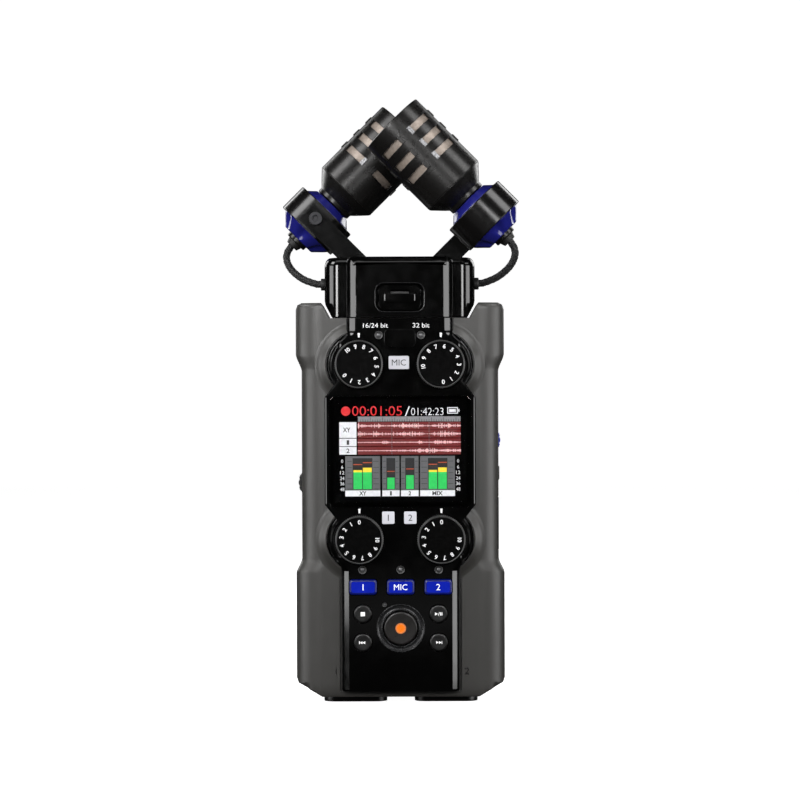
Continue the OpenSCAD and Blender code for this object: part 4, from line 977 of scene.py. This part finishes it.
def make_cells():
    bits = []
    for k in range(4):
        up = k % 2 == 0
        body = lathe("cell", rounded([(0, 0.0), (6.6, 0.0), (7.1, 0.4), (7.1, 33.5)], [0, 0.1, 0.2, 0], 3), 64, "jacket2", closed=False)
        top = lathe("cell2", rounded([(7.1, 33.5), (7.1, 49.0), (6.7, 49.4), (3.2, 49.35), (2.75, 49.4), (2.7, 50.3), (2.4, 50.5), (0, 50.5)], [0, 0.25, 0.2, 0.1, 0.1, 0.15, 0.1, 0], 3), 64, "jacket", closed=False)
        for q in (body, top):
            transform(q, T(-21.9 + 14.6 * k, 12.5, 49.8 if up else 100.3) @ (Matrix.Identity(4) if up else R("X", 180)))
        bits += [body, top]
    o = join(bits, "battery_cells_v")
    done(o, "recorder", "battery_cells", angle=40)
    springs = []
    for k in range(4):
        low = k % 2 == 0
        pts = []
        n = 120
        for i in range(n + 1):
            t = i / n
            a = 2 * math.pi * 3.6 * t
            r = 3.3 - 1.6 * t
            h = 0.35 + 3.0 * t * (1.0 if low else 0.28)
            pts.append(Vector((r * math.cos(a), r * math.sin(a), h)))
        s = tube("spring", pts, 0.28 if low else 0.16, 8, "steel")
        plate_low = block(-4.8, 4.8, -4.8, 4.8, 0.0, 0.3, "pl", "steel", 0.08)
        plate_hi = block(-4.8, 4.8, -4.8, 4.8, -0.3, 0.0, "pl", "steel", 0.08)
        z_lo, z_hi = 46.2, 101.8
        x = -21.9 + 14.6 * k
        if low:
            transform(s, T(x, 12.5, z_lo))
        else:
            transform(s, T(x, 12.5, z_hi) @ R("X", 180))
        transform(plate_low, T(x, 12.5, z_lo)); transform(plate_hi, T(x, 12.5, z_hi))
        springs += [s, plate_low, plate_hi]
        if not low:
            nub = lathe("nub", [(0, 0.2), (2.2, 0.2), (1.8, 1.2), (0, 1.3)], 24, "steel", closed=False)
        else:
            nub = lathe("nub", [(0, 0.2), (2.2, 0.2), (1.8, 1.2), (0, 1.3)], 24, "steel", closed=False)
        springs.append(transform(nub, T(x, 12.5, z_lo) if not low else T(x, 12.5, z_hi) @ R("X", 180)))
    o = join(springs, "battery_contacts_v")
    done(o, "recorder", "battery_contacts", angle=40)

make_cells()

# ------------------------------------------------------------------ capsule housings
def cap_hw(z):
    pts = [(133.3, 23.5), (137.6, 25.7), (139.0, 26.0), (150.4, 26.0)]
    for (z0, h0), (z1, h1) in zip(pts, pts[1:]):
        if z <= z1:
            return h0 + (h1 - h0) * max(0.0, (z - z0) / (z1 - z0))
    return 26.0

def make_capsule():
    rings = []
    zs = [133.3, 133.5, 134.5, 137.6, 138.3, 139.0, 143, 147, 150.8]
    for z in zs:
        s = 0.2 if z == 133.3 else 0.0
        rings.append(plan_ring(z, cap_hw(z) - s, 52.0, 32.0 - 2 * s, 5.0, 2.0))
    R0 = 3.2
    for k in range(1, 8):
        a = math.radians(90 * k / 7)
        i = R0 * (1 - math.cos(a)) * 0.86
        z = 150.8 + R0 * math.sin(a)
        rings.append(plan_ring(z, 30, 52.0 - 2 * i * 0.82, 32.0 - 2 * i, 5.0 - i * 0.5, 2.0))
    solid = loft("capsule_front_housing_v", rings, "gloss2")
    boolean(solid, block(-22, 22, -11.5, 16, 135.3, 151.6))
    cuts = [block(-9, 9, -2, 4, 130, 136)]
    for s in (-1, 1):
        c = lathe("c", [(0, 0), (1.7, 0), (1.7, 8), (0, 8)], 32)
        cuts.append(transform(c, T(s * 20, -2.0 * s, 145.2) @ R("Y", 90 * s)))
    # arm openings
    for s in (0, 180):
        a = block(-4.2, 27.3, -1.65, 1.65, -4.45, 3.05)
        cuts.append(transform(a, R("Z", s) @ T(-29.3, 0, 168.2) @ R("Y", 45)))
    boolean(solid, cuts)
    rear = link(bpy.data.objects.new("capsule_rear_housing_v", solid.data.copy()))
    boolean(solid, block(-50, 50, 2.0, 60, 100, 200))
    boolean(rear, block(-50, 50, -60, 2.0, 100, 200))
    bevel(rear, 0.15, 2, 40)
    done(rear, "mic_capsule", "capsule_rear_housing", angle=30)
    bevel(solid, 0.12, 2, 40)
    # raised centre with rolled edges
    side = []
    path = rounded([(14.0, 154.0), (18.2, 154.0), (18.2, 133.2)], [0, 3.2, 0], 8)
    for x, z in path:
        side.append((x, z, 3.2, 2.8))
    # the top edge rolls too: walk from the middle of the top
    side = [(0.01, 154.0, 2.4, 2.6), (6.0, 154.0, 2.4, 2.6), (12.0, 154.0, 2.4, 2.6)] + [(x, z, (2.4 if x < 15.1 else 3.2), (2.6 if x < 15.1 else 2.8)) for x, z in path]
    centre = rolled_top("centre", side, YP, -13.0, "gloss2")
    cc = [loft("c", [[(x, y, z) for x, z in rrect(w_, h_, r_, 8, 0, 139.9)] for y, w_, h_, r_ in ((-24, 16.9, 9.9, 2.9), (YP - 0.02, 16.9, 9.9, 2.9), (YP + 0.18, 16.5, 9.5, 2.75), (YP + 1.15, 14.9, 8.7, 2.3), (YP + 1.5, 14.3, 8.4, 2.0), (-18.3, 14.2, 8.3, 1.9))]), block(-3.2, 3.2, -20, -16, 138.3, 142.6), block(-14, 14, -17.2, -11, 135.6, 145.5)]
    boolean(centre, cc)
    bevel(centre, 0.12, 2, 50)
    # a thin grey bead on the recess rim paints the rim's highlight line
    ring = [Vector((x, YP + 0.03, z)) for x, z in rrect(16.9, 9.9, 2.9, 10, 0, 139.9)]
    solid = merge_in(solid, centre, tube("highlight_bead", ring + ring[:1], 0.12, 8, "highlight_bead"))
    done(solid, "mic_capsule", "capsule_front_housing", angle=30)
    latch = key_block(0, 139.75, 10.9, 3.0, 0.45, -20.0, -18.65, "gloss2", 0.3)
    stem = block(-2.9, 2.9, -19.0, -16.0, 138.6, 140.8, "stem", "satin", 0.1)
    foot = block(-5, 5, -16.4, -15.0, 136.5, 142.0, "foot", "satin", 0.1)
    latch = merge_in(latch, stem, foot)
    latch.name = "capsule_latch_v"
    done(latch, "capsule_latch", "capsule_latch", angle=30)

def rolled_top(name, side, yface, yback, mat, steps=7):
    """Like rolled, for an outline that starts at the middle of its own top edge."""
    pts = [(x, z) for x, z, _, _ in side]
    norms = []
    for i in range(len(pts)):
        a, b = Vector(pts[max(i - 1, 0)]), Vector(pts[min(i + 1, len(pts) - 1)])
        t = (b - a).normalized()
        norms.append(Vector((t.y, -t.x)))
    norms[-1] = Vector((-1, 0)); norms[0] = Vector((0, -1))
    rings = []
    levels = [(0.0, yback, None)] + ROLL
    for frac, y, s in levels:
        right = []
        for (x, z, w, d), nn in zip(side, norms):
            yy = y if y is not None else yface + d * (1 - s)
            right.append((max(0.005, x + nn.x * w * frac), yy, z + nn.y * w * frac))
        rings.append(right + [(-x, yy, z) for x, yy, z in reversed(right)])
    return loft(name, rings, mat)
make_capsule()

# ------------------------------------------------------------------ arms, rings, microphones
def at_right(o):
    return transform(o, T(RING_X, -MIC_Y, RING_Z) @ R("Y", -45))
def at_left(o):
    return transform(transform(o, T(RING_X, -MIC_Y, RING_Z) @ R("Y", -45)), T(0, 2 * MIC_Y, 0) @ Matrix.Diagonal((-1, 1, 1, 1)))

def make_arm(node, turn):
    """The arm with a shallow channel along its outer face."""
    src = NODE[node]
    me = src.data.copy()
    me.materials.clear()
    me.materials.append(M["arm"])
    for p in me.polygons:
        p.material_index = 0
    o = link(bpy.data.objects.new(node + "_v", me))
    dissolve(o, 0.6)
    pocket = block(-3.35, 22.5, -2.4, -1.05, -3.6, 2.2)
    boolean(o, transform(pocket, R("Z", turn) @ T(-29.3, 0, 168.2) @ R("Y", 45)))
    bevel(o, 0.22, 3, 35)
    done(o, src["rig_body"], node, angle=38)
make_arm("mic_arm_left", 0)
make_arm("mic_arm_right", 180)
upgrade("arm_screws", "screw", 0.2)

def make_rings():
    for side_ in ("right", "left"):
        prof = rounded([(10.05, -5.1), (12.0, -5.1), (12.0, 5.1), (10.05, 5.1)], 0.35, 4, closed=True)
        # the band, turned from a rounded section
        o = lathe("mount_ring_" + side_ + "_v", prof, 128, "ringm")
        (at_right if side_ == "right" else at_left)(o)
        if side_ == "right":
            boolean(o, block(10, 50, -1.6, 3, 150, 185))
        else:
            boolean(o, block(-50, -10, -3, 1.6, 150, 185))
        done(o, "mic_capsule", "mount_ring_" + side_, angle=35)
make_rings()

def make_suspension():
    bits = []
    for put in (at_right, at_left):
        seg = 240
        def ring(h, r, lobe=0.0, ph=0.0):
            return [((r - lobe * (0.5 - 0.5 * math.cos(6 * t + ph)) ** 2) * math.cos(t), (r - lobe * (0.5 - 0.5 * math.cos(6 * t + ph)) ** 2) * math.sin(t), h) for t in [2 * math.pi * k / seg for k in range(seg)]]
        rings = [ring(-9.3, 4.05), ring(-9.3, 6.2, 0.3), ring(-9.15, 6.55, 0.5), ring(-8.85, 6.85, 0.8), ring(-7.6, 8.1, 1.3), ring(-6.4, 9.35, 1.7), ring(-5.6, 10.1, 1.4), ring(-5.25, 10.35, 0.8), ring(-5.1, 10.3, 0.4), ring(-5.1, 9.96), ring(5.1, 9.96), ring(5.5, 9.6), ring(6.6, 8.4, 0.3), ring(7.4, 7.6, 0.3), ring(7.65, 7.25, 0.2), ring(7.7, 7.0), ring(7.7, 4.05)]
        o = loft("s", rings, "blue", cap=False)
        bits.append(put(o))
    o = join(bits, "suspension_mounts_v")
    done(o, "mic_capsule", "suspension_mounts", angle=45)
make_suspension()

SLOTS = [(-75, -29), (-151, -105), (-3, 43), (137, 183), (67, 113)]
def barrel(name):
    """The slotted barrel as a clean grid with the slots left out and walls round them."""
    angs = [-179 + 2 * k for k in range(180)]
    zs = [14.72, 15.0, 18.5, 22.0, 24.8, 27.4, 30.8, 33.4, 36.8, 39.4, 41.0, 43.0, 44.75]
    ro, ri = 12.0, 11.25
    def slot_at(a, i):
        if i not in (4, 6, 8):
            return False
        for s0, s1 in SLOTS:
            for sh in (-360, 0, 360):
                if s0 + sh <= a and a + 2 <= s1 + sh:
                    return True
        return False
    v, f = [], []
    n, m = len(angs), len(zs)
    def vid(layer, i, k):
        return layer * n * m + i * n + (k % n)
    for r in (ro, ri):
        for z in zs:
            for a in angs:
                v.append((r * math.cos(math.radians(a)), r * math.sin(math.radians(a)), z))
    for i in range(m - 1):
        for k in range(n):
            a = angs[k]
            if slot_at(a, i):
                continue
            f.append([vid(0, i, k), vid(0, i, k + 1), vid(0, i + 1, k + 1), vid(0, i + 1, k)])
            f.append([vid(1, i, k), vid(1, i + 1, k), vid(1, i + 1, k + 1), vid(1, i, k + 1)])
            # walls of neighbouring slots
            for dk, e in ((-1, 0), (1, 1)):
                kk = (k + dk) % n
                if slot_at(angs[kk], i):
                    f.append([vid(0, i, k + e), vid(0, i + 1, k + e), vid(1, i + 1, k + e), vid(1, i, k + e)])
    for i in (4, 6, 8):
        for k in range(n):
            if slot_at(angs[k], i):
                f.append([vid(0, i, k), vid(0, i, k + 1), vid(1, i, k + 1), vid(1, i, k)])
                f.append([vid(0, i + 1, k), vid(0, i + 1, k + 1), vid(1, i + 1, k + 1), vid(1, i + 1, k)])
    # foot ring and closed front
    for k in range(n):
        f.append([vid(0, 0, k), vid(0, 0, k + 1), vid(1, 0, k + 1), vid(1, 0, k)])
    base = len(v)
    tops = [(11.93, 44.95), (11.78, 45.06), (11.6, 45.1), (10.9, 45.1), (10.7, 44.8), (6.0, 44.8)]
    for r, z in tops:
        for a in angs:
            v.append((r * math.cos(math.radians(a)), r * math.sin(math.radians(a)), z))
    prev = [vid(0, m - 1, k) for k in range(n)]
    for j in range(len(tops)):
        cur = [base + j * n + k for k in range(n)]
        for k in range(n):
            f.append([prev[k], prev[(k + 1) % n], cur[(k + 1) % n], cur[k]])
        prev = cur
    c = len(v); v.append((0, 0, 44.8))
    for k in range(n):
        f.append([prev[k], prev[(k + 1) % n], c])
    c2 = len(v); v.append((0, 0, 44.0))
    inner = [vid(1, m - 1, k) for k in range(n)]
    for k in range(n):
        f.append([inner[(k + 1) % n], inner[k], c2])
    return mesh_object(name, v, f, "mic")

def make_mics():
    rng = np.random.default_rng(3)
    meshes, tails, elements = [], [], []
    for side_, put in (("right", at_right), ("left", at_left)):
        b = barrel("mic_barrel_" + side_ + "_v")
        bevel(b, 0.16, 2, 40)
        blocks = []
        for kz in range(3):
            for a in (-79, -101, -7, 187):
                z = 26.1 + 6 * kz
                rings = []
                for r, da, dz in ((11.6, 3.3, 1.5), (12.3, 3.3, 1.5), (12.42, 2.9, 1.35)):
                    rings.append([(r * math.cos(math.radians(a + s * da)), r * math.sin(math.radians(a + s * da)), z + t * dz) for s, t in ((-1, -1), (1, -1), (1, 1), (-1, 1))])
                # the blocks beside one slot take the light grey finish as painted glints; the others are plain barrel
                # metal
                painted_glint = a in (-79,)
                blocks.append(loft("blk", rings, "glint" if painted_glint else "mic"))
        b = merge_in(b, *blocks)
        put(b)
        done(b, "mic_capsule", "mic_barrel_" + side_, angle=32)
        # woven screen: a ridged tube
        n = 240
        rings = []
        for j in range(91):
            z = 23.0 + 18.2 * j / 90
            rings.append([((10.98 + 0.10 * math.cos(math.pi * (j + k))) * math.cos(2 * math.pi * k / n), (10.98 + 0.10 * math.cos(math.pi * (j + k))) * math.sin(2 * math.pi * k / n), z) for k in range(n)])
        meshes.append(put(loft("mesh", rings, "mesh", cap=False)))
        prof = [(0, -10.8), (3.7, -10.8), (4.0, -10.5), (4.0, 7.6), (4.2, 7.9), (6.7, 7.9), (7.1, 8.2), (7.1, 9.5), (7.25, 9.75), (8.4, 10.85), (11.6, 14.25), (11.82, 14.5), (11.82, 14.7), (11.2, 14.8), (11.2, 17.0), (0, 17.0)]
        tails.append(put(lathe("tail", rounded(prof, [0, .1, .1, .1, .1, .1, .15, .15, .1, .2, .2, .1, .1, .1, .1, 0], 3), 128, "mic", closed=False)))
        elements.append(put(lathe("el", rounded([(0, 17.0), (3, 17.0), (3, 34), (8.5, 34), (8.5, 43.5), (0, 43.5)], [0, .1, .3, .3, .3, 0], 3), 64, "brass", closed=False)))
    for lst, n, s in ((meshes, "mic_meshes", "mesh_screen"), (tails, "mic_tails", "mic_metal"), (elements, "mic_elements", "brass_parts")):
        o = join(lst, n + "_v")
        done(o, "mic_capsule", n, angle=35 if n != "mic_meshes" else 80)
make_mics()

# ------------------------------------------------------------------ leads
ROUTE = [(37.2, -12.7, 160.3), (38.6, -12.6, 158.9), (39.7, -12.3, 157.0), (40.0, -11.6, 155.0), (39.4, -10.5, 152.8), (38.0, -9.0, 150.6), (36.0, -7.2, 148.7), (33.6, -5.4, 147.1), (31.0, -3.6, 146.0), (29.0, -2.4, 145.4), (27.3, -2.0, 145.2)]
def catmull(p, n):
    p = [Vector(q) for q in p]
    out = []
    for i in range(len(p) - 1):
        a, b, c, d = p[max(i - 1, 0)], p[i], p[i + 1], p[min(i + 2, len(p) - 1)]
        for k in range(n):
            t = k / n
            out.append(0.5 * ((2 * b) + (c - a) * t + (2 * a - 5 * b + 4 * c - d) * t * t + (3 * b - a - 3 * c + d) * t * t * t))
    out.append(p[-1])
    return out

def make_leads():
    path = catmull(ROUTE, 14)
    fr = frames(path)
    length = [0.0]
    for a, b in zip(path, path[1:]):
        length.append(length[-1] + (b - a).length)
    bits = []
    core = tube("core", path, 0.92, 10, "cable")
    bits.append(core)
    for direction in (1, -1):
        for s in range(6):
            pts = []
            for p, (t, u, v), L in zip(path, fr, length):
                a = direction * 2 * math.pi * L / 6.5 + 2 * math.pi * s / 6
                weave = 1.03 + 0.09 * math.cos(6 * 2 * math.pi * L / 6.5 + math.pi * s + (0 if direction > 0 else math.pi))
                pts.append(p + (u * math.cos(a) + v * math.sin(a)) * weave)
            bits.append(tube("strand", pts, 0.23, 6, "cable"))
    one = join(bits, "mic_cables_v")
    two = link(bpy.data.objects.new("two", one.data.copy()))
    transform(two, R("Z", 180))
    o = join([one, two], "mic_cables_v")
    done(o, "mic_capsule", "mic_cables", angle=60)
    upgrade("cable_fittings", "rubber", 0.2)
make_leads()

# ------------------------------------------------------------------ studio
def make_studio():
    sc = bpy.context.scene
    # a round pale studio: a flat floor that curves up into a wall on every side
    prof = [(0.0, -0.02), (2400.0, -0.02)] + [(2400 + 600 * math.sin(math.radians(a)), 600 - 600 * math.cos(math.radians(a)) - 0.02) for a in range(6, 91, 6)] + [(3000.0, 5000.0)]
    o = lathe("studio_sweep", prof, 128, "floor", closed=False)
    for p in o.data.polygons:
        p.use_smooth = True
    o.visible_diffuse = False
    o.visible_glossy = False
    o.visible_transmission = False
    w = bpy.data.worlds.new("studio")
    sc.world = w
    w.use_nodes = True
    nt = w.node_tree
    nt.nodes.clear()
    out = nt.nodes.new("ShaderNodeOutputWorld")
    bg = nt.nodes.new("ShaderNodeBackground")
    bg.inputs["Color"].default_value = (1, 1, 1, 1)
    bg.inputs["Strength"].default_value = WORLD
    nt.links.new(bg.outputs[0], out.inputs[0])
    def area(name, loc, target, w_, h_, power, spread=180, color=(1, 1, 1)):
        la = bpy.data.lights.new(name, "AREA")
        la.shape = "RECTANGLE"; la.size = w_; la.size_y = h_
        la.energy = power; la.color = color
        la.spread = math.radians(spread)
        ob = link(bpy.data.objects.new(name, la))
        ob.location = loc
        ob.rotation_euler = (Vector(target) - Vector(loc)).to_track_quat("-Z", "Y").to_euler()
        return ob
    for name, loc, target, w_, h_, power, spread in LIGHTS:
        area(name, loc, target, w_, h_, power, spread)
    cam = bpy.data.cameras.new("camera")
    cam.sensor_width = 36.0
    cam.lens = 128.57
    cam.clip_start = 0.01; cam.clip_end = 20
    cam.dof.use_dof = False
    co = link(bpy.data.objects.new("camera", cam))
    co.location = (0, -1.0, 0.10465)
    co.rotation_euler = (R("X", 90) @ R("Z", -0.2)).to_euler()
    sc.camera = co
    sc.view_settings.view_transform = "Standard"
    sc.view_settings.look = "None"
    sc.view_settings.exposure = 0.0
WORLD = 0.012
LIGHTS = [
    ("strip_left", (-0.70, -0.36, 0.14), (0, 0, 0.11), 0.44, 0.34, 2.75, 180),
    ("strip_right", (0.70, -0.36, 0.11), (0, 0, 0.11), 0.44, 0.36, 2.85, 180),
    ("key_left", (-0.165, -0.50, 0.225), (0, 0, 0.12), 0.13, 0.18, 1.42, 180),
    ("key_right", (0.165, -0.50, 0.225), (0, 0, 0.12), 0.13, 0.18, 0.92, 180),
    ("rim_left", (-0.52, -0.28, 0.64), (0, 0, 0.18), 0.30, 0.30, 3.0, 180),
    ("rim_right", (0.52, -0.28, 0.64), (0, 0, 0.18), 0.30, 0.30, 2.2, 180),
    ("softbox_top", (0, -0.30, 0.80), (0, 0, 0.16), 0.6, 0.3, 0.8, 180),
    ("back_left", (-0.55, 0.62, 0.42), (0, 0, 0.11), 0.45, 0.45, 2.6, 180),
    ("back_right", (0.55, 0.62, 0.42), (0, 0, 0.11), 0.45, 0.45, 2.6, 180),
    ("floor_card", (0, -0.42, 0.004), (0, -0.42, 0.5), 0.5, 0.35, 0.08, 180),
]
make_studio()
